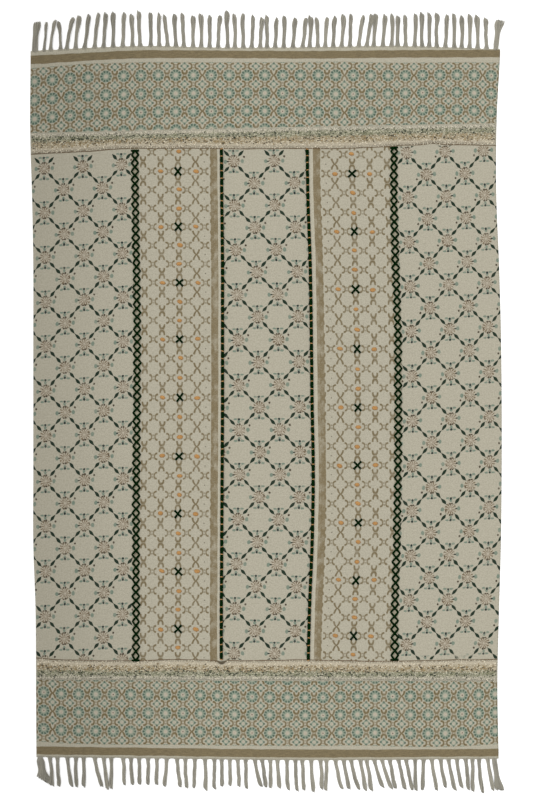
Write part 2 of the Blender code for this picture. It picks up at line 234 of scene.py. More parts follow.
# The woven and printed stripes: the middle of each, in metres from the rug's own middle, and
# half its width.
Stripe = namedtuple("Stripe", "middle half")
END_STRIPE = Stripe((STRIPE_OUTER_ALONG + STRIPE_INNER_ALONG) / 2 - 0.0006, 0.0098)
CHAIN_STRIPE = Stripe(CHAIN_ACROSS, 0.0085)
BARE_STRIPE = Stripe(0.1255, 0.0105)    # without print, beside each laid cord
SIDE_STRIPE = Stripe(0.1368, 0.0093)
SIDE_STRIPE_SHIFT = 0.0018      # how far to the right both of them are printed

BORDER_PITCH = 0.0453
BORDER_ROW = 0.0466
# Each border print at stops across the rug: its lattice column there, and the y of its outer
# and inner rows of rosettes, which are two rows apart. All lengths are in millimetres.
BorderStop = namedtuple("BorderStop", "x column outer_row inner_row")
BORDERS = {
    1: (BorderStop(-620, -1.9, 824, 727), BorderStop(-556, -0.5, 830, 734),
        BorderStop(-464, 1.5, 837, 741), BorderStop(-372, 3.5, 840, 745),
        BorderStop(-283, 5.5, 842, 747), BorderStop(-192, 7.5, 842, 749),
        BorderStop(-8, 11.5, 842, 750), BorderStop(84, 13.5, 842, 748),
        BorderStop(175, 15.5, 842, 745), BorderStop(310, 18.5, 841, 748),
        BorderStop(399, 20.5, 842, 752), BorderStop(488, 22.5, 843, 753),
        BorderStop(576, 24.5, 841, 748), BorderStop(620, 25.5, 841, 747)),
    -1: (BorderStop(-620, -1.4, -841, -747), BorderStop(-578, -0.5, -843, -749),
         BorderStop(-533, 0.5, -847, -753), BorderStop(-399, 3.5, -850, -755),
         BorderStop(-219, 7.5, -851, -756), BorderStop(-41, 11.5, -854, -761),
         BorderStop(142, 15.5, -855, -763), BorderStop(231, 17.5, -853, -760),
         BorderStop(322, 19.5, -855, -760), BorderStop(413, 21.5, -856, -759),
         BorderStop(501, 23.5, -854, -757), BorderStop(586, 25.5, -849, -754),
         BorderStop(620, 26.3, -848, -752)),
}
BORDER_PRINT_START = -0.22      # how far outside its first row of diamonds a border starts

# Tufted bands.
PILE_INSET = 0.0030
PILE_SEAM = 0.0024              # from the seam to the first tufts
TUFT_SPACING = 0.0033
TUFT_LENGTH = 0.0082
TUFT_RADIUS = 0.0011
TUFT_LEAN = math.radians(52)
TUFT_FULLEST = 0.7              # the share of its length where a tuft is fullest
RIM_TUFTS = 0.08                # this share of a band, at each seam, leans towards the field
TRIMMED_FROM = 0.75             # from this share of the way to the field its tufts get shorter
TUFT_CLEARANCE = 0.0008         # from the seam's middle to the nearest tufts
PARTING_BEND = 0.0008           # where a tuck bends the seam more than this, the tufts are
PARTED_CLEARANCE = {1: TUFT_CLEARANCE, -1: 0.0082}      # this far off, at the top and the bottom
MAT_CELL = 0.0060               # the mat of tuft roots under them
MAT_HEIGHT = 0.0032
# how much darker the mat is painted, as shade under the tufts
MAT_PAINTED_SHADE = 0.75
TRIM_BOTTOM = 0.0033

# Embroidery. Each span runs from the bottom seam to the top one, for its left and right row.
CHAIN_SPANS = {-1: (-0.6595, 0.6545), 1: (-0.6572, 0.6560)}
CORD_SPANS = {-1: (-0.6575, 0.6595), 1: (-0.6610, 0.6580)}
CHAIN_LINKS = 61
CHAIN_REACH = 0.0088
CHAIN_BAR_REACH = 1.12 * CHAIN_REACH        # half the bar that closes each end of a chain
CHAIN_SHARPNESS = 0.75          # 1 would be a plain zigzag and 0 a wave
CHAIN_CROSSING = 0.0021         # how much a yarn rises where it crosses over the other
CHAIN_DIP = 0.0009              # and how much it sinks where it turns back
CHAIN_YARN = 0.0051
CHAIN_YARN_HEIGHT = 0.68        # as a share of its width
COUCHING_BANDS = 68
CORD_WIDTH = 0.0088
CORD_HEIGHT = 0.0052
CORD_PINCH = 0.76
CROSS_LEAN = math.radians(49)
CROSS_HALF = (0.0130, 0.0158)   # half an arm's length, at least and at most
CROSS_RISE = (0.0012, 0.0032)   # how high the lower and the upper arm pass over the cloth
CROSS_SINK = 0.0016             # how deep their ends go into it
CROSS_SPREAD = 0.0009           # from an arm's middle to each of its two strands
KNOT_SHIFT = {"left": 0.0016, "right": 0.0}     # the gold knots sit a little beside their corners
KNOT_WANDER = 0.0020
KNOT_TURN = (-28, 8)            # in degrees
KNOT_HALF_LENGTH = (0.0062, 0.0080)
KNOT_HALF_SPREAD = (0.0034, 0.0043)      # across its threads
KNOT_RISE = 0.0030              # the height of its middle thread
KNOT_FALL = 0.0014              # and how much lower its outer threads are
Thread = namedtuple("Thread", "width height")
CROSS_THREAD = Thread(0.0029, 0.0022)
COUCHING_THREAD = Thread(0.0013, 0.0009)
KNOT_THREAD = Thread(0.0019, 0.0013)

# Finishes, as linear colours.
COTTON = (0.415, 0.387, 0.303)
COTTON_SHADE = (0.365, 0.340, 0.264)
TILE_COTTON = (0.420, 0.391, 0.306)
PLAIN_COTTON = (0.450, 0.420, 0.330)
END_BROWN = (0.162, 0.126, 0.066)
SIDE_BROWN = (0.186, 0.144, 0.076)
PRINT_BROWN = (0.155, 0.118, 0.058)
BORDER_BROWN = (0.140, 0.104, 0.043)
PRINT_TAN = (0.325, 0.300, 0.210)
PRINT_TEAL = (0.130, 0.185, 0.142)
PRINT_PALE_TEAL = (0.190, 0.250, 0.190)
PRINT_DARK_TEAL = (0.040, 0.080, 0.056)
PRINT_GREEN = (0.0035, 0.0180, 0.0070)
PRINT_SEED = (0.010, 0.022, 0.020)
PRINT_RUST = (0.150, 0.108, 0.060)
PRINT_PINK = (0.440, 0.370, 0.290)
PRINT_BUD = (0.050, 0.036, 0.020)
# the seam's colour is partly its own brown thread and partly painted shade along the seam
SEAM_BROWN_AND_SHADE = (0.125, 0.085, 0.045)
# painted shadow in the fold of a tuck
TUCK_SHADOW_BROWN = (0.060, 0.045, 0.022)
YARN_GREEN = (0.0019, 0.0130, 0.0024)
THREAD_GOLD = (0.470, 0.240, 0.065)
FRINGE_COTTON = (0.325, 0.308, 0.252)


# Laying out the uneven rug.

def smooth_between(stops, values, at):
    """Read a value off the smooth curve through a table's stops."""
    last = len(stops) - 1
    at = min(max(at, stops[0]), stops[last])
    i = min(bisect.bisect_right(stops, at) - 1, last - 1)
    before, after = max(i - 1, 0), min(i + 2, last)
    span = stops[i + 1] - stops[i]
    slope_in = (values[i + 1] - values[before]) / (stops[i + 1] - stops[before]) * span
    slope_out = (values[after] - values[i]) / (stops[after] - stops[i]) * span
    t = (at - stops[i]) / span
    rise = values[i + 1] - values[i]
    return (values[i] + t * (slope_in + t * (3 * rise - 2 * slope_in - slope_out
            + t * (slope_in + slope_out - 2 * rise))))


def drift(table, across, along):
    """How far a table of millimetre shifts moves a point of the even rug, in metres."""
    stops, *columns = zip(*table)
    shifts = [smooth_between(stops, column, along) for column in columns]
    return smooth_between(DRIFT_STATIONS, shifts, across) / MM_PER_M


def bell(distance, reach):
    return math.exp(-(distance / reach) ** 2)


def seam_stray(across, along):
    """How far a stray of the nearer seam draws a point along the rug, in metres."""
    stops, *columns = zip(*SEAM_STRAYS)
    stray = smooth_between(stops, columns[along > 0], across) / MM_PER_M
    return math.copysign(stray, stray * along) * bell(abs(along) - FIELD_END_ALONG, SEAM_EASE)


def lay_out(across, along):
    """Where a point of the even rug lies on the real one."""
    x = across + drift(SIDEWAYS_DRIFT, across, along)
    y = RUG_MIDDLE_Y + along + drift(LENGTHWAYS_DRIFT, across, along) + seam_stray(across, along)
    return x, y


def spread(low, high, steps):
    """Evenly spaced values from low to high, both ends included."""
    return [low + (high - low) * i / steps for i in range(steps + 1)]


def spaced_between(marks, cell):
    """The marks, with evenly spaced stops of about one cell between each two."""
    stops = []
    for low, high in zip(marks, marks[1:]):
        stops += spread(low, high, max(1, round((high - low) / cell)))[:-1]
    return stops + [marks[-1]]


# Meshes.

def add_piece(name, mesh, *materials):
    """Turn a finished mesh into a piece of the rug."""
    piece = bpy.data.objects.new(name, mesh)
    bpy.context.scene.collection.objects.link(piece)
    for material in materials:
        mesh.materials.append(material)
    mesh.shade_smooth()
    return piece


def add_built(name, bm, *materials):
    """Turn a mesh that was built up face by face into a piece of the rug."""
    mesh = bpy.data.meshes.new(name)
    bm.to_mesh(mesh)
    bm.free()
    return add_piece(name, mesh, *materials)


def select_only(piece):
    bpy.ops.object.select_all(action="DESELECT")
    piece.select_set(True)
    bpy.context.view_layer.objects.active = piece


def new_yarn_mesh():
    """An empty mesh for yarns: its UV map runs round and along them, and tint is their shade."""
    bm = bmesh.new()
    bm.loops.layers.uv.new("yarn")
    bm.verts.layers.float.new("tint")
    return bm


def lay_yarn(bm, line, widths, heights, tint=0.5, sides=6):
    """Lay one yarn along a line of points, with an oval section at each; its ends are closed."""
    uv = bm.loops.layers.uv["yarn"]
    shade = bm.verts.layers.float["tint"]
    rings, travelled, run = [], [], 0.0
    for i, point in enumerate(line):
        ahead = line[min(i + 1, len(line) - 1)] - line[max(i - 1, 0)]
        aside = Vector((ahead.y, -ahead.x, 0)).normalized()
        up = aside.cross(ahead).normalized()
        run += (point - line[i - 1]).length if i else 0
        travelled.append(run)
        ring = []
        for k in range(sides):
            angle = math.tau * k / sides
            vert = bm.verts.new(point + aside * (math.cos(angle) * widths[i] / 2)
                                + up * (math.sin(angle) * heights[i] / 2))
            vert[shade] = tint
            ring.append(vert)
        rings.append(ring)
    for i, (near_ring, far_ring) in enumerate(zip(rings, rings[1:])):
        for k in range(sides):
            nxt = (k + 1) % sides
            face = bm.faces.new((near_ring[k], near_ring[nxt], far_ring[nxt], far_ring[k]))
            corners = ((k, i), (k + 1, i), (k + 1, i + 1), (k, i + 1))
            for loop, (turn, step) in zip(face.loops, corners):
                loop[uv].uv = (turn / sides, travelled[step])
    bm.faces.new(rings[0][::-1])
    bm.faces.new(rings[-1])


# Shader nodes.

class Value:
    """A number that varies over the surface: a shader socket, ready for sums."""

    def __init__(self, socket):
        self.socket = socket

    def __add__(self, other):
        return work_out("ADD", self, other)

    def __sub__(self, other):
        return work_out("SUBTRACT", self, other)

    def __rsub__(self, other):
        return work_out("SUBTRACT", other, self)

    def __mul__(self, other):
        return work_out("MULTIPLY", self, other)

    def __truediv__(self, other):
        return work_out("DIVIDE", self, other)

    def __abs__(self):
        return work_out("ABSOLUTE", self)

    __radd__ = __add__
    __rmul__ = __mul__


def feed(tree, socket, term):
    """Give a socket a number, a colour or another node's output."""
    if isinstance(term, Value):
        tree.links.new(term.socket, socket)
    elif isinstance(term, tuple) and socket.type == "RGBA":
        socket.default_value = (*term, 1)
    else:
        socket.default_value = term


def work_out(operation, *terms, clamp=False):
    tree = next(term.socket.id_data for term in terms if isinstance(term, Value))
    node = tree.nodes.new("ShaderNodeMath")
    node.operation = operation
    node.use_clamp = clamp
    for socket, term in zip(node.inputs, terms):
        feed(tree, socket, term)
    return Value(node.outputs[0])


def within(distance, reach, soft):
    """1 inside the reach, fading to 0 over a soft edge."""
    return work_out("MULTIPLY_ADD", distance, -1 / soft, reach / soft + 0.5, clamp=True)


def beyond(distance, reach, soft):
    return work_out("MULTIPLY_ADD", distance, 1 / soft, 0.5 - reach / soft, clamp=True)


def folded(value, period):
    """How far a value is from the nearest multiple of the period."""
    return work_out("PINGPONG", value, period / 2)


def from_nearest(value):
    """A value less the whole number nearest to it."""
    return value - work_out("ROUND", value)


def squared(value):
    return value * value


def either(*masks):
    joined = masks[0]
    for mask in masks[1:]:
        joined = work_out("MAXIMUM", joined, mask)
    return joined


def oval(x, y, centre, radii, soft=0.5):
    """A filled oval, as a mask."""
    across = (x - centre[0]) * (1 / radii[0])
    up = (y - centre[1]) * (1 / radii[1])
    return within(squared(across) + squared(up), 1, soft)


def speckle(tree, place, scale, detail=2, roughness=0.5, stretch=None):
    """Noise from 0 to 1 at a place, with this many blotches a metre."""
    if stretch:
        mapping = tree.nodes.new("ShaderNodeMapping")
        feed(tree, mapping.inputs["Vector"], place)
        mapping.inputs["Scale"].default_value = stretch
        place = Value(mapping.outputs[0])
    node = tree.nodes.new("ShaderNodeTexNoise")
    feed(tree, node.inputs["Vector"], place)
    node.inputs["Scale"].default_value = scale
    node.inputs["Detail"].default_value = detail
    node.inputs["Roughness"].default_value = roughness
    return Value(node.outputs["Fac"])


def new_group(name, inputs, outputs):
    """A node group with these inputs; gives the group, its input values and a way to give out."""
    group = bpy.data.node_groups.new(name, "ShaderNodeTree")
    for label in inputs:
        kind = "NodeSocketVector" if label == "Place" else "NodeSocketFloat"
        group.interface.new_socket(label, in_out="INPUT", socket_type=kind)
    for label in outputs:
        group.interface.new_socket(label, in_out="OUTPUT", socket_type="NodeSocketFloat")
    entry = group.nodes.new("NodeGroupInput")
    leave = group.nodes.new("NodeGroupOutput")
    given = [Value(entry.outputs[label]) for label in inputs]

    def give(**values):
        for label, value in values.items():
            group.links.new(value.socket, leave.inputs[label])

    return group, given, give


def use_group(tree, group, *terms):
    """Place a node group in a material, and give its outputs by name."""
    node = tree.nodes.new("ShaderNodeGroup")
    node.node_tree = group
    for socket, term in zip(node.inputs, terms):
        feed(tree, socket, term)
    return {socket.name: Value(socket) for socket in node.outputs}


def dye(tree, base, colour, mask, blend="MIX"):
    """Lay a colour over another wherever the mask says."""
    node = tree.nodes.new("ShaderNodeMix")
    node.data_type = "RGBA"
    node.blend_type = blend
    feed(tree, node.inputs["Factor"], mask)
    for socket, term in zip([s for s in node.inputs if s.type == "RGBA"], (base, colour)):
        feed(tree, socket, term)
    return Value(next(s for s in node.outputs if s.type == "RGBA"))


def darken(tree, base, colour, mask):
    """Multiply a colour into another by a mask."""
    return dye(tree, base, colour, mask, "MULTIPLY")


def roughen(tree, shader, height, strength, distance):
    bump = tree.nodes.new("ShaderNodeBump")
    bump.inputs["Strength"].default_value = strength
    bump.inputs["Distance"].default_value = distance
    feed(tree, bump.inputs["Height"], height)
    tree.links.new(bump.outputs["Normal"], shader.inputs["Normal"])


def new_finish(name, roughness, sheen, gloss=0.2):
    material = bpy.data.materials.new(name)
    material.use_nodes = True
    tree = material.node_tree
    shader = tree.nodes["Principled BSDF"]
    shader.inputs["Roughness"].default_value = roughness
    shader.inputs["Specular IOR Level"].default_value = gloss
    shader.inputs["Sheen Weight"].default_value = sheen
    shader.inputs["Sheen Roughness"].default_value = 0.6
    return material, tree, shader


def read_map(tree, name):
    """A UV map's place, and its two coordinates."""
    node = tree.nodes.new("ShaderNodeUVMap")
    node.uv_map = name
    split = tree.nodes.new("ShaderNodeSeparateXYZ")
    tree.links.new(node.outputs[0], split.inputs[0])
    return Value(node.outputs[0]), Value(split.outputs[0]), Value(split.outputs[1])


# The woven ground and the prints on it.

RIB = 0.0042                    # from one rib to the next
PICK = 0.0019                   # from one row of weft to the next


def make_weave_group():
    """Weft-faced plain weave: ribs along the rug, crossed by packed rows of weft."""
    group, (place, across, along), give = new_group(
        "plain_weave", ("Place", "Across", "Along"), ("Height", "Slub", "Grain"))
    waver = speckle(group, place, 45, 2)
    pick = along * (1 / PICK) + waver * 1.5
    rib = across * (math.tau / RIB) + work_out("FLOOR", pick) * math.pi + waver * 4
    over = work_out("SINE", rib)
    packed = abs(work_out("SINE", pick * math.pi))
    grain = speckle(group, place, 260, 4, 0.75)
    give(Height=over * 0.3 + packed * 0.4 + grain * 0.5,
         Slub=speckle(group, place, 1, 3, 0.6, (60, 340, 1)),
         Grain=grain)
    return group


def make_ink_group():
    """Block-printed ink: it misses some of the weave and is thinner in places."""
    group, (place, mask, wear), give = new_group("block_ink", ("Place", "Mask", "Wear"), ("Ink",))
    missed = beyond(speckle(group, place, 420, 2, 0.6), 0.62, 0.25)
    thin = beyond(speckle(group, place, 40, 2, 0.5), 0.58, 0.30)
    give(Ink=work_out("MULTIPLY", mask, 1 - wear * (missed * 0.6 + thin * 0.6), clamp=True))
    return group


def make_wobble_group():
    """Shift a print's columns and rows a little, as a hand-cut block does."""
    group, (place, column, row, reach), give = new_group(
        "hand_wobble", ("Place", "Column", "Row", "Reach"), ("Column", "Row"))
    give(Column=column + (speckle(group, place, 70, 1) - 0.5) * reach,
         Row=row + (speckle(group, place, 83, 1) - 0.5) * reach)
    return group


# The arches' shape, as shares of the lattice's pitch: each pair's half width, and how far from
# the corner its mouth and its top lie, for the pairs that stand upright and those on their side.
Arches = namedtuple("Arches", "stroke up_half up_mouth up_top side_half side_mouth side_top")
TILE_ARCHES = Arches(0.095, 0.134, 0.205, 0.458, 0.155, 0.240, 0.412)
BORDER_ARCHES = Arches(0.102, 0.132, 0.198, 0.436, 0.157, 0.212, 0.416)
ARCH_SQUARE = 2.8               # 2 would be an oval; more has straighter sides
ARCH_TIE = 0.075                # how far from the middle two arches' tops are tied together
ARCH_THINS_FROM = 0.6           # the share of its height above which an arch's stroke thins
STROKE_SOFT = 0.030


def stroke_mask(half, off_line, from_mouth):
    """A stroke this wide on each side of its line, which starts at the arch's mouth."""
    stroke = work_out("ADD", (half - off_line) / STROKE_SOFT, 0.5, clamp=True)
    return stroke * beyond(from_mouth, 0.005, 0.03)


def arch_line(aside, ahead, stroke, half, mouth, top):
    """An arch that opens towards the lattice corner, thick along its sides and thin at its top."""
    up = work_out("MAXIMUM", (ahead - mouth) / (top - mouth), 0.0)
    ring = (work_out("POWER", aside / half, ARCH_SQUARE)
            + work_out("POWER", up, ARCH_SQUARE))
    off = abs(work_out("POWER", ring, 1 / ARCH_SQUARE) - 1) * half
    full = 1 - work_out("MAXIMUM", up - ARCH_THINS_FROM, 0.0) * 1.1
    line = stroke_mask(stroke * 0.5 * full, off, ahead - mouth)
    tie = within(squared(aside - ARCH_TIE) + squared(ahead - 0.48), 0.0022, 0.0025)
    return either(line, tie * 0.6)


def make_arches_group():
    """A lattice with four arches round each corner; in every fourth column they cross."""
    group, (column, row, stroke, up_half, up_mouth, up_top, side_half, side_mouth,
            side_top), give = new_group(
        "arch_lattice", ("Column", "Row", "Stroke", "Upright Half", "Upright Mouth",
                         "Upright Top", "Sideways Half", "Sideways Mouth", "Sideways Top"),
        ("Line", "Dot"))
    aside, along = folded(column, 1), folded(row, 1)
    joined = within(folded(column, 4), 0.5, 0.01)
    narrowing = work_out("POWER", work_out("SINE", (0.5 - along) / (0.5 - up_mouth) * (math.pi / 2)),
                         0.7)
    crossing = abs(aside - up_half * 1.25 * narrowing)
    cross_line = stroke_mask(stroke * 0.5, crossing * 0.85, along - up_mouth)
    upright = arch_line(aside, along, stroke, up_half, up_mouth, up_top)
    upright = upright + (cross_line - upright) * joined
    sideways = arch_line(along, aside, stroke, side_half, side_mouth, side_top)
    dot_column = folded(column - 0.5, 4)
    dot_row = folded(row - 0.5, 1)
    dot = within(squared(dot_column) + squared(dot_row), 0.0011, 0.0008)
    give(Line=either(upright, sideways), Dot=dot)
    return group


# The rosettes' rings, in millimetres. The diamond is a ring with straight sides.
Ring = namedtuple("Ring", "radius half_width soft")
PETALS = 10
PETAL_RING = Ring(11.8, 2.8, 1.7)
PALE_RING = Ring(10.2, 4.6, 2.4)
DIAMOND_RING = Ring(8.6, 2.5, 1.6)
DIAMOND_TIP = 8.2               # how far out its dark tips lie


def ring_mask(out, ring):
    return within(abs(out - ring.radius), ring.half_width, ring.soft)


def make_rosette_group():
    """A ring of petals between the arches, and a small diamond on each lattice corner."""
    group, (column, row), give = new_group(
        "rosettes", ("Column", "Row"), ("Petal", "Ring", "Heart", "Diamond", "Tip"))
    x = folded(column - 0.5, 1) * (BORDER_PITCH * MM_PER_M)
    y = folded(row - 0.5, 1) * (BORDER_ROW * MM_PER_M)
    out = work_out("SQRT", squared(x) + squared(y))
    turn = work_out("ARCTAN2", y, x)
    wave = work_out("COSINE", turn * PETALS)
    petal = beyond(wave, -0.3, 1.0) * ring_mask(out, PETAL_RING)
    corner_x = folded(column, 1) * (BORDER_PITCH * MM_PER_M)
    corner_y = folded(row, 1) * (BORDER_ROW * MM_PER_M)
    give(Petal=petal,
         Ring=ring_mask(out, PALE_RING),
         Heart=within(out, 4.0, 3.0),
         Diamond=ring_mask(corner_x + corner_y, DIAMOND_RING),
         Tip=either(oval(corner_x, corner_y, (DIAMOND_TIP, 0), (3.2, 2.8)),
                    oval(corner_x, corner_y, (0, DIAMOND_TIP), (2.8, 3.2))))
    return group


# Small spots of a trellis flower, in millimetres from its middle.
Spot = namedtuple("Spot", "across up wide tall")
FLOWER_BUDS = (
    Spot(-4.1, 14.3, 2.2, 2.2), Spot(1.4, 14.8, 2.4, 2.8), Spot(12.3, 3.4, 2.0, 1.8),
    Spot(-3.6, -14.2, 2.4, 2.1), Spot(2.0, -13.6, 2.6, 2.5), Spot(25.2, 11.8, 2.6, 2.9),
)
FLOWER_LEAVES = (
    Spot(-21.2, -0.8, 4.3, 5.4), Spot(21.2, 0, 4.3, 5.6), Spot(-1.3, 21.2, 3.2, 4.4),
    Spot(-9.6, 27.8, 4.6, 2.4), Spot(8.2, 27.8, 4.6, 2.4), Spot(-0.8, -21.6, 3.2, 3.4),
    Spot(-9.2, -28.2, 4.8, 2.8), Spot(7.8, -28.2, 4.8, 2.8),
)
FLOWER_SEEDS = (
    Spot(-1.0, 27.6, 3.3, 2.9), Spot(-0.8, -26.6, 3.1, 3.5), Spot(-15.2, -0.8, 3.0, 1.8),
)


RAYS = 12
RAY_RING = Ring(9.2, 6.4, 1.5)
# The kite-shaped leaves and the links along the trellis's diagonals, in millimetres from there.
DIAGONAL = (0.655, 0.756)       # across and along, from a flower towards the next one
KITE_OUT = 26.0                 # where a kite is widest
KITE_HALF_WIDTH = 4.0
KITE_BEYOND = 12.5              # from there to its outer tip
KITE_BEFORE = 9.0               # and to its inner one
LINK_OUT = 27.4                 # the middle of a link
LINK_HALF_LENGTH = 12.8
LINK_HALF_WIDTH = 0.8


def spots(x, y, table):
    return either(*(oval(x, y, (spot.across, spot.up), (spot.wide, spot.tall)) for spot in table))


def make_trellis_group():
    """Flowers on a centred lattice, with leaf kites between them and small sprigs round each.

    Their shapes are worked out in millimetres from the middle of the nearest flower.
    """
    group, (place, column, row, half_pitch), give = new_group(
        "flower_trellis", ("Place", "Column", "Row", "Half Pitch"),
        ("Up", "Halo", "Rays", "Teal", "Green", "Seed", "Bud"))
    frayed = speckle(group, place, 190, 2) - 0.5
    across, along = column * 0.5, row * 0.5
    near_x, near_y = from_nearest(across), from_nearest(along)
    far_x = near_x - work_out("SIGN", near_x) * 0.5
    far_y = near_y - work_out("SIGN", near_y) * 0.5
    scale_x, scale_y = half_pitch * 2, 2 * FLOWER_HALF_ALONG * MM_PER_M
    near_off = squared(near_x * scale_x) + squared(near_y * scale_y)
    far_off = squared(far_x * scale_x) + squared(far_y * scale_y)
    shift = work_out("LESS_THAN", far_off, near_off)
    x = (near_x + (far_x - near_x) * shift) * scale_x
    y = (near_y + (far_y - near_y) * shift) * scale_y

    out = work_out("SQRT", squared(x) + squared(y))
    turn = work_out("ARCTAN2", y, x)
    wave = work_out("COSINE", turn * RAYS + frayed * 9)
    rays = beyond(wave, 0.15, 0.7) * ring_mask(out + frayed * 6, RAY_RING)

    side_x, side_y = abs(x), abs(y)
    out_along = side_x * DIAGONAL[0] + side_y * DIAGONAL[1]
    off_line = abs(side_x * DIAGONAL[1] - side_y * DIAGONAL[0])
    taper = work_out("MAXIMUM", (out_along - KITE_OUT) * (1 / KITE_BEYOND),
                     (KITE_OUT - out_along) * (1 / KITE_BEFORE))
    kite = within(off_line + work_out("POWER", taper, 1.6) * KITE_HALF_WIDTH, KITE_HALF_WIDTH, 0.8)
    falling = work_out("LESS_THAN", x * y, 0.0)
    link = within(off_line, LINK_HALF_WIDTH, 0.7) * within(abs(out_along - LINK_OUT),
                                                           LINK_HALF_LENGTH, 1.5)
    link = link * (falling * 0.4 + 0.45)

    sprig = within(abs(side_x - (side_y - 19.5) * 1.1), 1.0, 0.9) * within(abs(side_y - 23.5), 4, 1)

    give(Up=y,
         Halo=within(out, 13.5, 5),
         Rays=rays,
         Teal=either(spots(x, y, FLOWER_LEAVES), sprig * 0.7),
         Green=either(kite, link),
         Seed=spots(x, y, FLOWER_SEEDS),
         Bud=spots(x, y, FLOWER_BUDS))
    return group


def start_cotton(name, cream, shade):
    """A matte woven cotton finish, ready for its prints."""
    material, tree, shader = new_finish(name, 0.92, 0.12)
    place, across, along = read_map(tree, "rug_plan")
    woven = use_group(tree, WEAVE, place, across, along)
    colour = dye(tree, cream, shade, beyond(woven["Slub"], 0.52, 0.5) * 0.8)
    roughen(tree, shader, woven["Height"], 0.55, 0.0008)
    return material, tree, shader, place, across, along, colour, woven


def finish_cotton(tree, shader, colour, woven):
    """Let the weave's grain show through the prints."""
    colour = darken(tree, colour, (0.70, 0.69, 0.66), beyond(woven["Grain"], 0.53, 0.24) * 0.7)
    tree.links.new(colour.socket, shader.inputs["Base Color"])


def weave_end_stripe(tree, place, along, colour):
    """The brown stripe woven across each end of the rug."""
    wander = (speckle(tree, place, 30, 2) - 0.5) * 0.004
    stripe = within(abs(abs(along) - END_STRIPE.middle + wander), END_STRIPE.half, 0.0012)
    streak = speckle(tree, place, 1, 3, 0.6, (60, 650, 1))
    brown = dye(tree, tuple(0.8 * c for c in END_BROWN), tuple(1.3 * c for c in END_BROWN),
                beyond(streak, 0.5, 0.3))
    return dye(tree, colour, brown, stripe * 0.97)


def make_ends_finish():
    """Plain cotton with the woven stripe; the rug's back shows it too."""
    material, tree, shader, place, across, along, colour, woven = start_cotton(
        "woven_cotton_ends", COTTON, COTTON_SHADE)
    finish_cotton(tree, shader, weave_end_stripe(tree, place, along, colour), woven)
    return material


def read_print(tree, place, reach):
    _, column, row = read_map(tree, "print")
    moved = use_group(tree, WOBBLE, place, column, row, reach)
    return moved["Column"], moved["Row"]


def print_ink(tree, place, base, colour, mask, wear=0.8):
    ink = use_group(tree, INK, place, mask, wear)["Ink"]
    return dye(tree, base, colour, ink)


def make_border_finish():
    material, tree, shader, place, across, along, colour, woven = start_cotton(
        "border_print", COTTON, COTTON_SHADE)
    column, row = read_print(tree, place, 0.04)
    rosettes = use_group(tree, ROSETTES, column, row)
    arches = use_group(tree, ARCHES, column, row, *BORDER_ARCHES)
    layers = ((PRINT_PINK, rosettes["Heart"] * 0.5),
              (PRINT_PALE_TEAL, either(rosettes["Ring"], rosettes["Diamond"]) * 0.85),
              (PRINT_DARK_TEAL, either(rosettes["Petal"], rosettes["Tip"] * 0.8) * 0.9),
              (BORDER_BROWN, arches["Line"]),
              (PRINT_BUD, arches["Dot"]))
    printed = beyond(row, BORDER_PRINT_START, 0.03)
    for ink, mask in layers:
        colour = print_ink(tree, place, colour, ink, mask * printed, 0.45)
    finish_cotton(tree, shader, weave_end_stripe(tree, place, along, colour), woven)
    return material


# Where the cloth is tucked at a seam, in metres on the even rug: its place across, its end of the
# rug (1 is the top), how far it runs to each side, how far it bends the seam outwards, how much
# it widens the seam's painted shadow of the fold, and its height.
Tuck = namedtuple("Tuck", "across end reach bend shade height")
TUCKS = (
    Tuck(-0.1145, -1, 0.0100, 0.0068, 0.0028, -0.0011),
    Tuck(0.4350, 1, 0.0240, 0.0046, 0.0009, 0.0011),
)
SEAM_ALONG = FIELD_END_ALONG - 0.0014
SEAM_LEAST_HALF = 0.0008        # half the seam's width where it is thinnest
SEAM_SWELL = 0.0014             # and how much more it is where it is thickest
SEAM_SOFT = 0.0012
TUCK_DARKENING = 500            # how much darker the painted shadow of a tuck gets, for each metre of its shade


def seam_bend(end, across):
    """How far the tucks bend a seam outwards at this place across."""
    return sum(tuck.bend * bell(across - tuck.across, tuck.reach)
               for tuck in TUCKS if tuck.end == end)


def print_stripes(tree, place, across, base, colour, stripe):
    """Print a long stripe on each side of the rug."""
    wander = (speckle(tree, place, 22, 2) - 0.5) * 0.003
    mask = within(abs(abs(across) - stripe.middle + wander), stripe.half, 0.0010)
    return print_ink(tree, place, base, colour, mask)


def seam_line(tree, place, across, along, colour):
    """The brown seam between the tufted bands and the field, partly its own brown and partly painted
    shade: it wanders, and bends at a tuck.
    """
    wander = (speckle(tree, place, 14, 3) - 0.5) * 0.0045
    half = speckle(tree, place, 30, 2) * SEAM_SWELL + SEAM_LEAST_HALF
    brown = SEAM_BROWN_AND_SHADE
    for tuck in TUCKS:
        aside = (across - tuck.across) * (1 / tuck.reach)
        bent = work_out("EXPONENT", 0 - squared(aside)) * work_out(
            "GREATER_THAN", along * tuck.end, 0.0)
        wander = wander - bent * tuck.bend
        half = half + bent * tuck.shade
        # at a tuck the seam widens and darkens into a painted shadow of the fold
        brown = dye(tree, brown, TUCK_SHADOW_BROWN, bent * (TUCK_DARKENING * tuck.shade))
    off = abs(abs(along) - SEAM_ALONG + wander)
    mask = work_out("ADD", (half - off) * (1 / SEAM_SOFT), 0.5, clamp=True)
    return dye(tree, colour, brown, mask * 0.92)


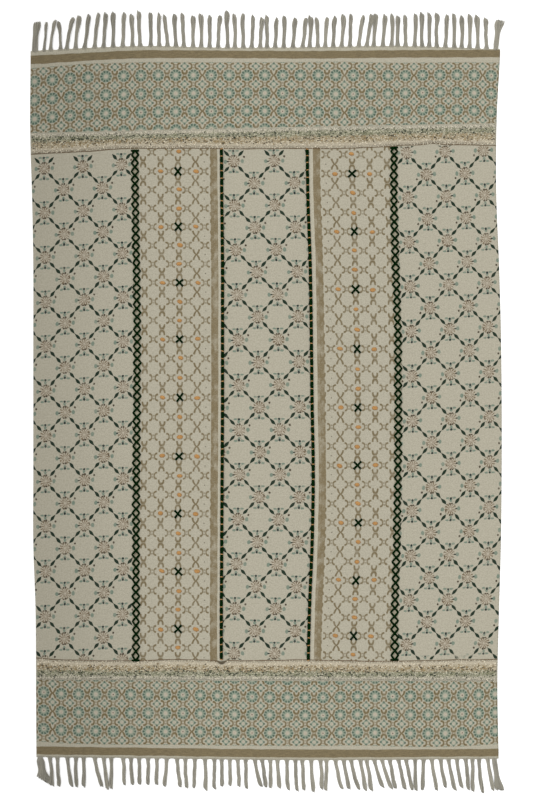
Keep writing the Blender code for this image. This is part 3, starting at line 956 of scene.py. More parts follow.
def make_trellis_finish():
    material, tree, shader, place, across, along, colour, woven = start_cotton(
        "trellis_print", COTTON, COTTON_SHADE)
    column, row = read_print(tree, place, 0.05)
    parts = use_group(tree, TRELLIS, place, column, row, FLOWER_BLOCK_HALF_PITCH * MM_PER_M)
    layers = ((PRINT_PINK, parts["Halo"] * 0.4, 0.5), (PRINT_RUST, parts["Rays"], 0.5),
              (PRINT_TEAL, parts["Teal"] * 0.9, 0.4), (PRINT_BUD, parts["Bud"], 0.3),
              (PRINT_SEED, parts["Seed"], 0.2), (PRINT_GREEN, parts["Green"], 0.05))
    turned = 1 - 2 * work_out("GREATER_THAN", across, CHAIN_ACROSS)
    flower_along = along - parts["Up"] * turned * (1 / MM_PER_M)
    printed = within(abs(flower_along - FLOWERS_MIDDLE_ALONG), FLOWERS_REACH, 0.001)
    printed = printed * within(abs(along), FIELD_END_ALONG - TRELLIS_MARGIN, 0.001)
    for ink, mask, wear in layers:
        colour = print_ink(tree, place, colour, ink, mask * printed, wear)
    colour = print_stripes(tree, place, across, colour, PRINT_TAN, CHAIN_STRIPE)
    finish_cotton(tree, shader, seam_line(tree, place, across, along, colour), woven)
    return material


def make_tile_finish():
    material, tree, shader, place, across, along, colour, woven = start_cotton(
        "tile_print", TILE_COTTON, COTTON_SHADE)
    column, row = read_print(tree, place, 0.05)
    arches = use_group(tree, ARCHES, column, row, *TILE_ARCHES)
    printed = within(abs(along), FIELD_END_ALONG - TILE_MARGIN, 0.001)
    colour = print_ink(tree, place, colour, PRINT_BROWN, arches["Line"] * printed, 0.45)
    colour = print_ink(tree, place, colour, PRINT_BUD, arches["Dot"] * 0.8, 0.5)
    bare = within(abs(abs(across) - BARE_STRIPE.middle), BARE_STRIPE.half, 0.001)
    colour = dye(tree, colour, PLAIN_COTTON, bare)
    colour = print_stripes(tree, place, across, colour, PRINT_TAN, CHAIN_STRIPE)
    colour = print_stripes(tree, place, across - SIDE_STRIPE_SHIFT, colour, SIDE_BROWN,
                           SIDE_STRIPE)
    finish_cotton(tree, shader, seam_line(tree, place, across, along, colour), woven)
    return material


# Where each print's columns and rows fall on the real rug.

def cross_column(side):
    """The x and the y of one side's cross stitches, from the top down, in metres."""
    return [[getattr(row, f"{side}_{axis}") / MM_PER_M for row in CROSS_ROWS] for axis in "xy"]


def tile_place(side, x, y):
    """Column and row of the tile print at a point: whole numbers are its lattice corners."""
    xs, ys = [values[::-1] for values in cross_column(side)]
    count = len(CROSS_ROWS) - 1
    rows = [TILE_ROWS_PER_CROSS * (count - i) for i in range(count + 1)]
    over = max(y - ys[-1], 0) + min(y - ys[0], 0)
    row = smooth_between(ys, rows, y) - over / TILE_ALONG
    column = (x - smooth_between(ys, xs, y)) / TILE_PITCH
    turned = 1 if side == "left" else -1
    return turned * column - 1, turned * row


def trellis_place(panel, x, y):
    """Column and row of the trellis print at a point, counted in half pitches."""
    xs, ys, rises = [[getattr(row, f"{panel}_{item}") for row in FLOWER_ROWS]
                     for item in ("x", "y", "rise")]
    xs, ys = [value / MM_PER_M for value in xs], [value / MM_PER_M for value in ys]
    aside = x - smooth_between(ys, xs, y)
    level = y - aside * smooth_between(ys, rises, y)
    column = aside / FLOWER_HALF_PITCH[panel]
    over = max(level - ys[-1], 0) + min(level - ys[0], 0)
    row = smooth_between(ys, [stop.row for stop in FLOWER_ROWS], level) + over / FLOWER_HALF_ALONG
    turned = -1 if panel == "right" else 1
    return turned * column, turned * row


def border_place(end, x, y):
    """Column and row of a border print at a point; the bottom border is turned half round."""
    stops, *columns = zip(*BORDERS[end])
    column, outer, inner = [smooth_between(stops, values, x * MM_PER_M) for values in columns]
    return end * column, 0.5 + 2 * (y * MM_PER_M - outer) / (inner - outer)


BORDER, TRELLIS_PANEL, TILE_PANEL, PLAIN = range(4)


def zone_of(across, along):
    """Which finish a part of the cloth has, and how to read its print's place."""
    if abs(along) > STRIPE_INNER_ALONG or SEAM_CLOTH_ALONG < abs(along) < PILE_OUTER_ALONG:
        return PLAIN, lambda x, y: (0, 0)
    if abs(along) > SEAM_CLOTH_ALONG:
        return BORDER, lambda x, y: border_place(1 if along > 0 else -1, x, y)
    side = "left" if across < 0 else "right"
    if CORD_ACROSS < abs(across) < CHAIN_ACROSS:
        return TILE_PANEL, lambda x, y: tile_place(side, x, y)
    panel = "middle" if abs(across) < CORD_ACROSS else side
    return TRELLIS_PANEL, lambda x, y: trellis_place(panel, x, y)


def cloth_height(x, y, across, along):
    """The height of the cloth's face: gentle slack waves, and gathers where it is sewn."""
    wave = noise.noise(Vector((x * 9, y * 9, 1))) + 0.5 * noise.noise(Vector((x * 24, y * 24, 5)))
    gather = noise.noise(Vector((x * 55, y * 55, 9)))
    sewn = (bell(abs(along) - FIELD_END_ALONG, 0.010) + bell(abs(across) - CHAIN_ACROSS, 0.014)
            + bell(abs(across) - CORD_ACROSS, 0.012)) if abs(along) < 0.70 else 0
    tucked = sum(tuck.height * bell(across - tuck.across, tuck.reach)
                 * bell(along * tuck.end - SEAM_ALONG, 0.004) for tuck in TUCKS)
    height = CLOTH_TOP + SLACK * wave + PUCKER * sewn * gather + tucked
    return max(height, CLOTH_GAUGE + UNDERSIDE_LIFT)


def make_cloth(locks):
    """The flat-woven sheet, with its uneven edges and its ends drawn in between the locks."""
    marks = (-CLOTH_WIDTH / 2, -CHAIN_ACROSS, -CORD_ACROSS)
    columns = spaced_between(marks + tuple(-mark for mark in reversed(marks)), CELL_ACROSS)
    marks = (FIELD_END_ALONG, SEAM_CLOTH_ALONG, PILE_OUTER_ALONG, PRINT_OUTER_ALONG,
             STRIPE_INNER_ALONG, STRIPE_OUTER_ALONG, FRINGE_ROOT_ALONG)
    rows = spaced_between(tuple(-mark for mark in reversed(marks)) + marks, CELL_ALONG)
    close = [FIELD_END_ALONG - inside for inside in TUCK_ROWS]
    rows = sorted(rows + close + [-mark for mark in close])
    bm = bmesh.new()
    plan, printed = bm.loops.layers.uv.new("rug_plan"), bm.loops.layers.uv.new("print")
    grid = []
    for along in rows:
        line = []
        for across in columns:
            x, y = lay_out(across, along)
            if abs(along) == FRINGE_ROOT_ALONG:
                end = math.copysign(1, along)
                gap = min(abs(lock.root_x - x) for lock in locks[end])
                y -= end * SCALLOP * min(gap / LOCK_HALF_PITCH, 1) ** 2
            line.append(bm.verts.new((x, y, cloth_height(x, y, across, along))))
        grid.append(line)
    for j, (low, high) in enumerate(zip(rows, rows[1:])):
        for i, (left, right) in enumerate(zip(columns, columns[1:])):
            zone, print_place = zone_of((left + right) / 2, (low + high) / 2)
            face = bm.faces.new((grid[j][i], grid[j][i + 1], grid[j + 1][i + 1], grid[j + 1][i]))
            face.material_index = zone
            corners = ((left, low), (right, low), (right, high), (left, high))
            for loop, corner in zip(face.loops, corners):
                loop[plan].uv = corner
                loop[printed].uv = print_place(loop.vert.co.x, loop.vert.co.y)
    finishes = [make_border_finish(), make_trellis_finish(), make_tile_finish(), make_ends_finish()]
    cloth = add_built("woven_cloth", bm, *finishes)
    select_only(cloth)
    gauge = cloth.modifiers.new("gauge", "SOLIDIFY")
    gauge.thickness = CLOTH_GAUGE
    gauge.offset = -1
    gauge.material_offset = PLAIN
    gauge.material_offset_rim = PLAIN
    bpy.ops.object.modifier_apply(modifier=gauge.name)
    return cloth


# Yarn finishes.

def make_twist_group():
    """Plied yarn: grooves that wind round it, and fine fibres."""
    group, (place, around, along, turns), give = new_group(
        "yarn_twist", ("Place", "Around", "Along", "Turns"), ("Height", "Groove", "Fibre"))
    ply = abs(work_out("SINE", (around * 2 + along * turns) * math.pi))
    fibre = speckle(group, place, 1, 3, 0.6, (9, 900, 1))
    give(Height=ply + fibre * 0.5, Groove=within(ply, 0.25, 0.35), Fibre=fibre)
    return group


def make_yarn_finish(name, colour, turns, roughness, sheen, variety, gloss=0.2):
    """Twisted yarn of one colour: this many turns a metre, in lighter and darker lengths."""
    material, tree, shader = new_finish(name, roughness, sheen, gloss)
    place, around, along = read_map(tree, "yarn")
    twist = use_group(tree, TWIST, place, around, along, turns)
    attribute = tree.nodes.new("ShaderNodeAttribute")
    attribute.attribute_name = "tint"
    tint = Value(attribute.outputs["Fac"])
    dark = tuple(c * (1 - variety) for c in colour)
    light = tuple(c * (1 + variety) for c in colour)
    shade = dye(tree, dark, light, tint)
    # painted shade in the grooves between the plies
    shade = darken(tree, shade, (0.55, 0.53, 0.50), twist["Groove"] * 0.7)
    shade = darken(tree, shade, (0.7, 0.68, 0.65), beyond(twist["Fibre"], 0.5, 0.3) * 0.5)
    tree.links.new(shade.socket, shader.inputs["Base Color"])
    roughen(tree, shader, twist["Height"], 0.5, 0.0006)
    return material


# The fringe.

def lay_locks(end):
    """Where each lock of a fringe lies, in metres, from its left to its right."""
    rng = random.Random(7 + end)
    locks = TOP_LOCKS if end > 0 else BOTTOM_LOCKS
    tip_limit = -CLOTH_WIDTH
    laid = []
    for i, lock in enumerate(locks):
        number = -1 if i == len(locks) - 1 else i
        sizes = [size / MM_PER_M for size in ODD_LOCKS.get((end, number), PLAIN_LOCK[end])]
        root_x = lock.root / MM_PER_M
        root_y = lay_out(root_x, end * FRINGE_ROOT_ALONG)[1]
        half_tip = sizes[2] / 2
        tip_x = max(root_x + lock.lean / MM_PER_M, tip_limit + half_tip)
        tip_limit = tip_x + half_tip + TIP_CLEARANCE
        laid.append(LaidLock(root_x, root_y, tip_x, root_y + end * lock.length / MM_PER_M,
                             rng.uniform(-BOW_SCATTER, BOW_SCATTER), *sizes))
    return laid


def lock_centre(lock, share, waver):
    """The middle of a lock at a share of its length, with a gentle waver."""
    x = (lock.root_x + (lock.tip_x - lock.root_x) * max(share, 0) ** LEAN_CURVE
         + lock.bow * math.sin(math.pi * min(max(share, 0), 1))
         + waver * math.sin(math.tau * share) * share)
    return x, lock.root_y + (lock.tip_y - lock.root_y) * share


def lock_width(lock, share, swell):
    """How wide a lock spreads at a share of its length: flared foot, even body, full shoulder."""
    shoulder = max(lock.tip_width, lock.width * swell)
    stops = (-0.1, 0, 0.14, 0.55, 0.84, 0.94, 1)
    widths = (lock.root_width * 1.15, lock.root_width, lock.width * 0.96, lock.width * 0.98,
              shoulder, max(lock.tip_width, shoulder * 0.85), lock.tip_width)
    return smooth_between(stops, widths, share) * FULLNESS


def lay_lock(bm, lock, end, rng):
    """One loosely twisted lock: a bundle of yarns that ends unevenly, and a few stray hairs."""
    length = abs(lock.tip_y - lock.root_y)
    plain = PLAIN_LOCK[end]
    full = (lock.width + lock.tip_width) / (plain.body + plain.tip) * MM_PER_M
    yarns = round(YARNS_PER_LOCK * max(full, 0.6))
    turns = rng.uniform(*LOCK_TURNS) * rng.choice((-1, 1)) * (1 if full < BROAD_LOCK else 0.2)
    waver = rng.uniform(-LOCK_WAVER, LOCK_WAVER)
    swell = 1 + (SHOULDER[end] - 1) * rng.uniform(0.4, 1.3)
    cut_slant = lock.slant * rng.uniform(0.6, 2.4) if full < BROAD_LOCK else lock.slant
    shade = rng.uniform(0.25, 0.75)
    for k in range(yarns + STRAY_HAIRS):
        hair = k >= yarns
        spot = rng.uniform(0, yarns) if hair else k
        angle = spot * GOLDEN_ANGLE
        outward = math.sqrt((spot + 0.5) / yarns)
        aside = outward * math.cos(angle + math.tau * turns)
        reach = 1 - rng.uniform(0, TIP_RAGGED) + cut_slant * aside / length
        start = rng.uniform(0.3, 0.8) if hair else -YARN_SINK / length
        widest = HAIR_STRAY if hair else YARN_STRAY
        stray = rng.uniform(-widest, widest)
        line, sizes = [], []
        for share in spread(start, reach + 0.04 * hair, HAIR_STEPS if hair else YARN_STEPS):
            x, y = lock_centre(lock, share, waver)
            half = lock_width(lock, share, swell) / 2 - YARN_RADIUS
            rise = smooth_between((-0.1, 0, 0.15, 0.85, 1), (0.3, 0.5, 1, 1, 0.6), share)
            tall = (LOCK_BODY_HEIGHT / 2 - YARN_RADIUS) * rise
            around = angle + math.tau * turns * max(share, 0)
            loose = stray * max((share - start) / (reach - start), 0) ** 2
            line.append(Vector((x + outward * half * math.cos(around) + loose, y,
                                YARN_RADIUS + tall * (1 + outward * math.sin(around)))))
            ending = min(1, (reach + 0.02 - share) / TIP_TAPER)
            sizes.append(2 * (HAIR_RADIUS if hair else YARN_RADIUS) * max(ending, TIP_THINNEST))
        tint = min(max(shade + rng.uniform(-0.35, 0.35), 0), 1)
        lay_yarn(bm, line, sizes, sizes, tint, 3 if hair else 4)


def make_fringe(name, end, locks, finish):
    """The warp ends of one end of the rug, twisted into locks."""
    bm = new_yarn_mesh()
    for lock in locks:
        lay_lock(bm, lock, end, random.Random(f"{name} {lock.root_x:.4f}"))
    return add_built(name, bm, finish)


# The tufted bands.

def make_tuft():
    """One tuft of cut pile, modelled once: it leans over, full in the middle, narrower at its end."""
    bpy.ops.object.select_all(action="DESELECT")
    bpy.ops.mesh.primitive_cylinder_add(vertices=5, radius=TUFT_RADIUS, depth=TUFT_LENGTH,
                                        end_fill_type="TRIFAN", location=(0, 0, TUFT_LENGTH / 2))
    bpy.ops.object.transform_apply(location=True)
    tuft = bpy.context.active_object
    bpy.ops.object.mode_set(mode="EDIT")
    bpy.ops.mesh.select_all(action="SELECT")
    bpy.ops.mesh.bisect(plane_co=(0, 0, TUFT_LENGTH * TUFT_FULLEST), plane_no=(0, 0, 1))
    bpy.ops.transform.resize(value=(1.2, 1.2, 1))
    bpy.ops.object.mode_set(mode="OBJECT")
    for vert in tuft.data.vertices:
        up = vert.co.z / TUFT_LENGTH
        if up > 0.9 and math.hypot(vert.co.x, vert.co.y) > TUFT_RADIUS / 2:
            vert.co.x, vert.co.y = vert.co.x * 0.6, vert.co.y * 0.6
            vert.co.z -= TUFT_LENGTH * 0.08
        lean = TUFT_LEAN * (0.4 + 0.6 * up)
        vert.co.y += vert.co.z * math.sin(lean)
        vert.co.z *= math.cos(lean)
    return tuft


# The rows of a band, from its outer seam (0) to its inner one (1): the yarns that each mixes, as
# linear colours, and the shares of its tufts that are pale and in between. The dark colour is partly
# a dark yarn and partly painted shade in the gaps between tufts.
PileRow = namedtuple("PileRow", "end pale middle dark pale_share middle_share")
PILE_ROWS = (
    PileRow(0.18, (0.55, 0.51, 0.40), (0.42, 0.40, 0.30), (0.22, 0.21, 0.15), 0.83, 0.14),
    PileRow(0.50, (0.47, 0.45, 0.33), (0.185, 0.19, 0.105), (0.018, 0.026, 0.010), 0.48, 0.25),
    PileRow(0.77, (0.55, 0.49, 0.355), (0.30, 0.22, 0.105), (0.055, 0.042, 0.016), 0.51, 0.28),
    PileRow(1.01, (0.63, 0.565, 0.43), (0.49, 0.43, 0.315), (0.28, 0.22, 0.14), 0.86, 0.11),
)


def pile_row(from_outer):
    return next(row for row in PILE_ROWS if from_outer < row.end)


def pile_colour(from_outer, rng, patch, fleck):
    """A tuft's colour: each row mixes a pale, a middle and a dark yarn, in flecks of a few tufts; the
    dark ones are partly painted shade between tufts.
    """
    row = pile_row(from_outer)
    draw = 0.5 + 0.6 * (rng.random() - 0.5) + 0.9 * fleck - 0.25 * patch
    dye_and_shade_colour = row.pale if draw < row.pale_share else (
        row.middle if draw < row.pale_share + row.middle_share else row.dark)
    bright = rng.uniform(0.76, 1.20)
    return tuple(channel * bright for channel in dye_and_shade_colour)


def make_pile_finish():
    material, tree, shader = new_finish("cut_pile", 0.95, 0.2)
    # the dye attribute holds the colours of the tufts and the mat, with painted shade on the mat and
    # in the darkest tufts
    attribute = tree.nodes.new("ShaderNodeAttribute")
    attribute.attribute_name = "dye"
    colour = Value(attribute.outputs["Color"])
    coordinates = tree.nodes.new("ShaderNodeTexCoord")
    place = Value(coordinates.outputs["Object"])
    fibre = speckle(tree, place, 1300, 2, 0.7)
    colour = darken(tree, colour, (0.6, 0.58, 0.55), beyond(fibre, 0.55, 0.3) * 0.5)
    tree.links.new(colour.socket, shader.inputs["Base Color"])
    roughen(tree, shader, fibre, 0.6, 0.0006)
    return material


PILE_HALF_WIDTH = CLOTH_WIDTH / 2 - PILE_INSET
PILE_INNER = FIELD_END_ALONG + PILE_SEAM
PILE_OUTER = PILE_OUTER_ALONG - PILE_INSET


def lay_mat(end, rng):
    """The mat of tuft roots, a low lumpy slab: its points, its faces and each point's colour, darkened
    as painted shade under the tufts.
    """
    verts, faces, dyes_and_shade = [], [], []
    columns = round(2 * PILE_HALF_WIDTH / MAT_CELL)
    rows = round((PILE_OUTER - PILE_INNER) / MAT_CELL)
    for face in ("top", "under"):
        for j in range(rows + 1):
            for i in range(columns + 1):
                across = PILE_HALF_WIDTH * (2 * i / columns - 1)
                bent_inner = PILE_INNER + max(seam_bend(end, across), 0)
                x, y = lay_out(across, end * (bent_inner + (PILE_OUTER - bent_inner) * j / rows))
                rim = i in (0, columns) or j in (0, rows)
                high = 0 if face == "under" else MAT_HEIGHT * (0.3 if rim else rng.uniform(0.8, 1.1))
                verts.append((x, y, TRIM_BOTTOM + high))
                row = pile_row(1 - j / rows)
                # the mat's colour is darkened as painted shade under the tufts
                dyes_and_shade.append([MAT_PAINTED_SHADE * (pale + middle) / 2
                             for pale, middle in zip(row.pale, row.middle)])
    wide, under = columns + 1, (columns + 1) * (rows + 1)
    for j in range(rows):
        for i in range(columns):
            a, b = j * wide + i, (j + 1) * wide + i
            faces += [(a, a + 1, b + 1, b), (under + b, under + b + 1, under + a + 1, under + a)]
    rim = ([i for i in range(columns)] + [j * wide + columns for j in range(rows)]
           + [rows * wide + i for i in range(columns, 0, -1)] + [j * wide for j in range(rows, 0, -1)])
    faces += [(under + a, under + b, b, a) for a, b in zip(rim, rim[1:] + rim[:1])]
    if end < 0:
        faces = [face[::-1] for face in faces]
    return verts, faces, dyes_and_shade


def place_tuft(shape, x, y, turn, size, tall):
    """The points of a tuft that is turned, sized and stood at a place."""
    cos, sin = math.cos(turn), math.sin(turn)
    return [(x + (co.x * cos - co.y * sin) * size, y + (co.x * sin + co.y * cos) * size,
             TRIM_BOTTOM + max(co.z, 0) * tall) for co in shape]


def make_pile_band(name, end, tuft, finish):
    """A band of short cut tufts in four rows of mixed yarns, leaning every way over their mat."""
    rng = random.Random(name)
    verts, faces, dyes_and_shade = lay_mat(end, rng)
    shape = [vert.co.copy() for vert in tuft.data.vertices]
    sides = [tuple(face.vertices) for face in tuft.data.polygons]
    rows = round((PILE_OUTER - PILE_INNER) / TUFT_SPACING)
    columns = round(2 * PILE_HALF_WIDTH / TUFT_SPACING)
    for j in range(rows + 1):
        for i in range(columns + 1):
            across = (PILE_HALF_WIDTH * (2 * i / columns - 1)
                      + rng.uniform(-0.45, 0.45) * TUFT_SPACING)
            from_outer = min(max(j / rows + rng.uniform(-0.5, 0.5) / rows, 0), 1)
            along = PILE_OUTER + (PILE_INNER - PILE_OUTER) * from_outer
            x, y = lay_out(min(max(across, -PILE_HALF_WIDTH), PILE_HALF_WIDTH), end * along)
            patch = noise.noise(Vector((x * 30, y * 70, 3)))
            fleck = noise.noise(Vector((x * 190, y * 300, 7)))
            mixed = min(max(from_outer + rng.uniform(-0.05, 0.05), 0), 1)
            colour = pile_colour(mixed, rng, patch, fleck)
            turn = rng.gauss(0, 0.6) + rng.choice((-1, 1)) * math.pi / 2 + patch
            size, tall = rng.uniform(0.8, 1.2), rng.uniform(0.78, 1.08)
            if not RIM_TUFTS <= from_outer <= 1 - RIM_TUFTS:
                turn = rng.uniform(-1.1, 1.1) + (math.pi if end > 0 else 0)
                size *= 0.65 if from_outer > 0.5 else 1
            if abs(across) > PILE_HALF_WIDTH - TUFT_LENGTH:
                turn = math.copysign(math.pi / 2, across) + rng.uniform(-0.5, 0.5)
            tall *= 1 - 2.4 * max(from_outer - TRIMMED_FROM, 0)
            bend = seam_bend(end, across)
            clearance = PARTED_CLEARANCE[end] if bend > PARTING_BEND else TUFT_CLEARANCE
            if along - SEAM_ALONG - bend >= clearance:
                faces += [tuple(len(verts) + k for k in side) for side in sides]
                verts += place_tuft(shape, x, y, turn, size, tall)
                dyes_and_shade += [colour] * len(shape)
    mesh = bpy.data.meshes.new(name)
    mesh.from_pydata(verts, [], faces)
    attribute = mesh.attributes.new("dye", "FLOAT_COLOR", "POINT")
    attribute.data.foreach_set("color", [part for tuft_dye_and_shade in dyes_and_shade for part in (*tuft_dye_and_shade, 1)])
    return add_piece(name, mesh, finish)


# The embroidery.

def lay_thread(bm, line, thread, tint, sides):
    """Lay an even thread along a line of points."""
    lay_yarn(bm, line, [thread.width] * len(line), [thread.height] * len(line), tint, sides)


def make_chain(name, side, finish):
    """Crossed chain embroidery: two thick yarns that zigzag over and under each other."""
    rng = random.Random(name)
    bm = new_yarn_mesh()
    centre = side * CHAIN_ACROSS
    start, stop = CHAIN_SPANS[side]
    link = (stop - start) / CHAIN_LINKS
    steps = 8
    uneven = [(rng.uniform(0.90, 1.10), rng.uniform(-0.0006, 0.0006))
              for _ in range(CHAIN_LINKS + 1)]
    for hand in (1, -1):
        line = []
        for i in range(CHAIN_LINKS * steps + 1):
            t = i / steps
            wide, shift = uneven[int(t)]
            swing = math.sin(math.pi * t)
            sharp = math.asin(swing) * 2 / math.pi
            swung = CHAIN_SHARPNESS * sharp + (1 - CHAIN_SHARPNESS) * swing
            across = centre + hand * CHAIN_REACH * wide * swung + shift
            x, y = lay_out(across, start + t * link)
            over = max(0.0, hand * math.cos(math.pi * t)) * CHAIN_CROSSING
            dip = CHAIN_DIP * abs(swing) ** 6
            line.append(Vector((x, y, TRIM_BOTTOM + CHAIN_YARN * 0.32 + over - dip)))
        widths = [CHAIN_YARN * rng.uniform(0.92, 1.12) for _ in line]
        lay_yarn(bm, line, widths, [w * CHAIN_YARN_HEIGHT for w in widths], rng.uniform(0.3, 0.7))
    for end in (start, stop):
        line = []
        for share in spread(-1, 1, 8):
            x, y = lay_out(centre + share * CHAIN_BAR_REACH, end)
            line.append(Vector((x, y, TRIM_BOTTOM + 0.0030 - 0.0025 * abs(share) ** 3)))
        lay_yarn(bm, line, [CHAIN_YARN] * 9, [CHAIN_YARN * 0.6] * 9)
    return add_built(name, bm, finish)


def make_cord(name, side, finish):
    """A laid green cord, drawn in wherever a couching stitch ties it down."""
    rng = random.Random(name)
    bm = new_yarn_mesh()
    steps = 6
    start, stop = CORD_SPANS[side]
    line, widths, heights = [], [], []
    for i in range(COUCHING_BANDS * steps + 1):
        t = i / steps
        x, y = lay_out(side * CORD_ACROSS, start + (stop - start) * t / COUCHING_BANDS)
        full = CORD_PINCH + (1 - CORD_PINCH) * abs(math.sin(math.pi * t)) ** 0.6
        widths.append(CORD_WIDTH * full * rng.uniform(0.96, 1.04))
        heights.append(CORD_HEIGHT * full)
        line.append(Vector((x + rng.uniform(-0.0002, 0.0002), y, TRIM_BOTTOM + heights[-1] / 2)))
    lay_yarn(bm, line, widths, heights, 0.5, 10)
    return add_built(name, bm, finish)


def make_couching(name, side, finish):
    """Gold thread stitched over the cord at even steps: two wraps side by side."""
    rng = random.Random(name)
    bm = new_yarn_mesh()
    start, stop = CORD_SPANS[side]
    for i in range(COUCHING_BANDS + 1):
        along = start + (stop - start) * i / COUCHING_BANDS
        slant = rng.uniform(-0.0016, 0.0016)
        tint = rng.uniform(0.2, 0.8)
        for wrap in (-1, 1):
            line = []
            for angle in spread(-0.15, math.pi + 0.15, 8):
                across = math.cos(angle) * CORD_WIDTH * CORD_PINCH * 0.58
                x, y = lay_out(side * CORD_ACROSS + across, along)
                y += wrap * 0.0005 + slant * math.cos(angle)
                height = math.sin(angle) * CORD_HEIGHT * CORD_PINCH * 1.12
                line.append(Vector((x, y, TRIM_BOTTOM + height)))
            lay_thread(bm, line, COUCHING_THREAD, tint, 4)
    return add_built(name, bm, finish)


def tile_corner(side, column, row):
    """Where a corner of the tile print's lattice lies on the rug; rows count from the top."""
    xs, ys = cross_column(side)
    rows = [TILE_ROWS_PER_CROSS * i for i in range(len(CROSS_ROWS))]
    over = max(row - rows[-1], 0) + min(row, 0)
    return (smooth_between(rows, xs, row) + column * TILE_PITCH,
            smooth_between(rows, ys, row) - over * TILE_ALONG)


def make_crosses(name, side, finish):
    """Cross stitches in doubled green yarn, each arm sunk into the cloth at its ends."""
    rng = random.Random(name)
    bm = new_yarn_mesh()
    for i in range(len(CROSS_ROWS)):
        x, y = tile_corner(side, 0, TILE_ROWS_PER_CROSS * i)
        for arm, angle in enumerate((-CROSS_LEAN, CROSS_LEAN)):
            angle += rng.uniform(-0.12, 0.12)
            half = rng.uniform(*CROSS_HALF)
            ahead = Vector((math.cos(angle), math.sin(angle), 0))
            aside = Vector((-ahead.y, ahead.x, 0))
            for strand in (-1, 1):
                line = [Vector((x, y, TRIM_BOTTOM)) + ahead * half * share
                        + aside * strand * CROSS_SPREAD * (1 + 0.8 * abs(share))
                        + Vector((0, 0, CROSS_RISE[arm] * (1 - share ** 2)
                                  - CROSS_SINK * abs(share) ** 5))
                        for share in spread(-1, 1, 8)]
                lay_thread(bm, line, CROSS_THREAD, rng.uniform(0.3, 0.7), 6)
    return add_built(name, bm, finish)


def knot_corners():
    """The lattice corners that carry a gold knot: beside each cross stitch, and between them."""
    last = TILE_ROWS_PER_CROSS * (len(CROSS_ROWS) - 1)
    for row in range(-1, last + 2):
        for column in ((-1, 1) if row % TILE_ROWS_PER_CROSS == 0 else (0,)):
            yield column, row


def make_knots(name, side, finish):
    """Gold satin-stitch knots: a few threads laid side by side, longest in the middle."""
    rng = random.Random(name)
    bm = new_yarn_mesh()
    for column, row in knot_corners():
        x, y = tile_corner(side, column, row)
        x += rng.uniform(-KNOT_WANDER, KNOT_WANDER) + KNOT_SHIFT[side]
        y += rng.uniform(-KNOT_WANDER, KNOT_WANDER)
        angle = math.radians(rng.uniform(*KNOT_TURN))
        long, wide = rng.uniform(*KNOT_HALF_LENGTH), rng.uniform(*KNOT_HALF_SPREAD)
        ahead = Vector((math.cos(angle), math.sin(angle), 0))
        aside = Vector((-ahead.y, ahead.x, 0))
        for thread in spread(-1, 1, 6):
            half = long * math.sqrt(1 - (thread * 0.82) ** 2) * rng.uniform(0.92, 1.08)
            top = KNOT_RISE - KNOT_FALL * thread ** 2
            line = [Vector((x, y, TRIM_BOTTOM - 0.0004)) + ahead * half * share
                    + aside * thread * wide
                    + Vector((0, 0, top * (1 - share ** 4)))
                    for share in spread(-1, 1, 6)]
            lay_thread(bm, line, KNOT_THREAD, rng.uniform(0.1, 0.9), 5)
    return add_built(name, bm, finish)


# The stage.

PHOTO_SCALE = 0.0025806         # metres to a pixel of the photograph, at the rug
PHOTO_PIXELS_HIGH = 799
CAMERA_SPOT = (-0.0036, 0.0057)
CAMERA_HEIGHT = 5.0
SENSOR_MM = 36
FLOOR_SIZE = 14
FLOOR_GLOW = 0.22
STUDIO_GLOW = 0.62

# The lamp hangs to the right, and the soft edge of its light falls across the rug's left side.
Light = namedtuple("Light", "kind spot aim energy")
WINDOW = Light("SUN", (-2.2, 3.0, 4.2), (0, 0, 0), 1.36)
WINDOW_ANGLE = math.radians(40)
LAMP = Light("SPOT", (3.0, 0.0, 8.0), (3.0, 0.0, 0.0), 1000)
LAMP_CONE = math.radians(49.9)
LAMP_SOFT_EDGE = 0.21
LAMP_RADIUS = 0.15


def make_camera():
    data = bpy.data.cameras.new("camera")
    data.sensor_width = SENSOR_MM
    data.lens = SENSOR_MM * CAMERA_HEIGHT / (PHOTO_SCALE * PHOTO_PIXELS_HIGH)
    camera = bpy.data.objects.new("camera", data)
    camera.location = (*CAMERA_SPOT, CAMERA_HEIGHT)
    bpy.context.scene.collection.objects.link(camera)
    bpy.context.scene.camera = camera


def make_floor():
    bpy.ops.object.select_all(action="DESELECT")
    bpy.ops.mesh.primitive_plane_add(size=FLOOR_SIZE)
    floor = bpy.context.active_object
    floor.name = "floor"
    material, tree, shader = new_finish("pale_floor", 0.9, 0)
    shader.inputs["Base Color"].default_value = (0.95, 0.95, 0.95, 1)
    shader.inputs["Emission Color"].default_value = (1, 1, 1, 1)
    shader.inputs["Emission Strength"].default_value = FLOOR_GLOW
    floor.data.materials.append(material)


def add_light(name, light):
    data = bpy.data.lights.new(name, light.kind)
    data.energy = light.energy
    hung = bpy.data.objects.new(name, data)
    hung.location = light.spot
    hung.rotation_euler = (Vector(light.aim) - Vector(light.spot)).to_track_quat("-Z", "Y").to_euler()
    bpy.context.scene.collection.objects.link(hung)
    return data


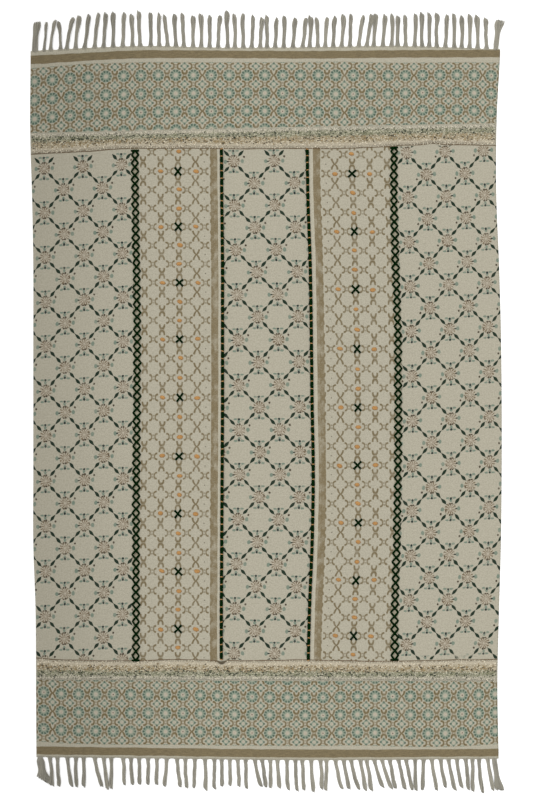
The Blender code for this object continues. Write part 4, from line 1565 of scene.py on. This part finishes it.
def make_studio():
    scene = bpy.context.scene
    scene.view_settings.view_transform = "Standard"
    world = bpy.data.worlds.new("studio")
    world.use_nodes = True
    world.node_tree.nodes["Background"].inputs["Color"].default_value = (1, 1, 1, 1)
    world.node_tree.nodes["Background"].inputs["Strength"].default_value = STUDIO_GLOW
    scene.world = world
    window = add_light("window_light", WINDOW)
    window.angle = WINDOW_ANGLE
    lamp = add_light("overhead_lamp", LAMP)
    lamp.spot_size = LAMP_CONE
    lamp.spot_blend = LAMP_SOFT_EDGE
    lamp.shadow_soft_size = LAMP_RADIUS


def settle(piece, slot, *nodes):
    """Fix a piece to the rug, and hide the solids that it stands for; slot is not used."""
    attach(piece, "root")
    if nodes:
        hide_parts(*nodes)
    return piece


make_camera()
make_floor()
make_studio()

WEAVE = make_weave_group()
INK = make_ink_group()
WOBBLE = make_wobble_group()
ARCHES = make_arches_group()
ROSETTES = make_rosette_group()
TRELLIS = make_trellis_group()
TWIST = make_twist_group()

fringe_finish = make_yarn_finish("fringe_yarn", FRINGE_COTTON, 260, 0.95, 0.2, 0.18)
green_finish = make_yarn_finish("green_yarn", YARN_GREEN, 300, 0.9, 0.0, 0.3, 0.0)
gold_finish = make_yarn_finish("gold_thread", THREAD_GOLD, 700, 0.45, 0.2, 0.15)
pile_finish = make_pile_finish()

laid_locks = {end: lay_locks(end) for end in (1, -1)}
cloth = settle(make_cloth(laid_locks), "woven_cotton", "rug_cloth")

on_cloth = []
tuft = make_tuft()
for end, where in ((1, "top"), (-1, "bottom")):
    on_cloth += [
        settle(make_fringe(f"twisted_fringe_{where}", end, laid_locks[end], fringe_finish),
               "fringe_yarn", f"fringe_{where}"),
        settle(make_pile_band(f"tufted_band_{where}", end, tuft, pile_finish),
               "pile_yarn", f"pile_band_{where}"),
    ]
bpy.data.objects.remove(tuft)
for side, where in ((-1, "left"), (1, "right")):
    on_cloth += [
        settle(make_chain(f"chain_stitch_{where}", side, green_finish),
               "green_yarn", f"chain_row_{where}"),
        settle(make_cord(f"laid_cord_{where}", side, green_finish),
               "green_yarn", f"couched_cord_{where}"),
        settle(make_couching(f"couching_{where}", side, gold_finish), "gold_thread"),
        settle(make_crosses(f"cross_stitches_{where}", where, green_finish), "green_yarn"),
        settle(make_knots(f"gold_knots_{where}", where, gold_finish), "gold_thread"),
    ]
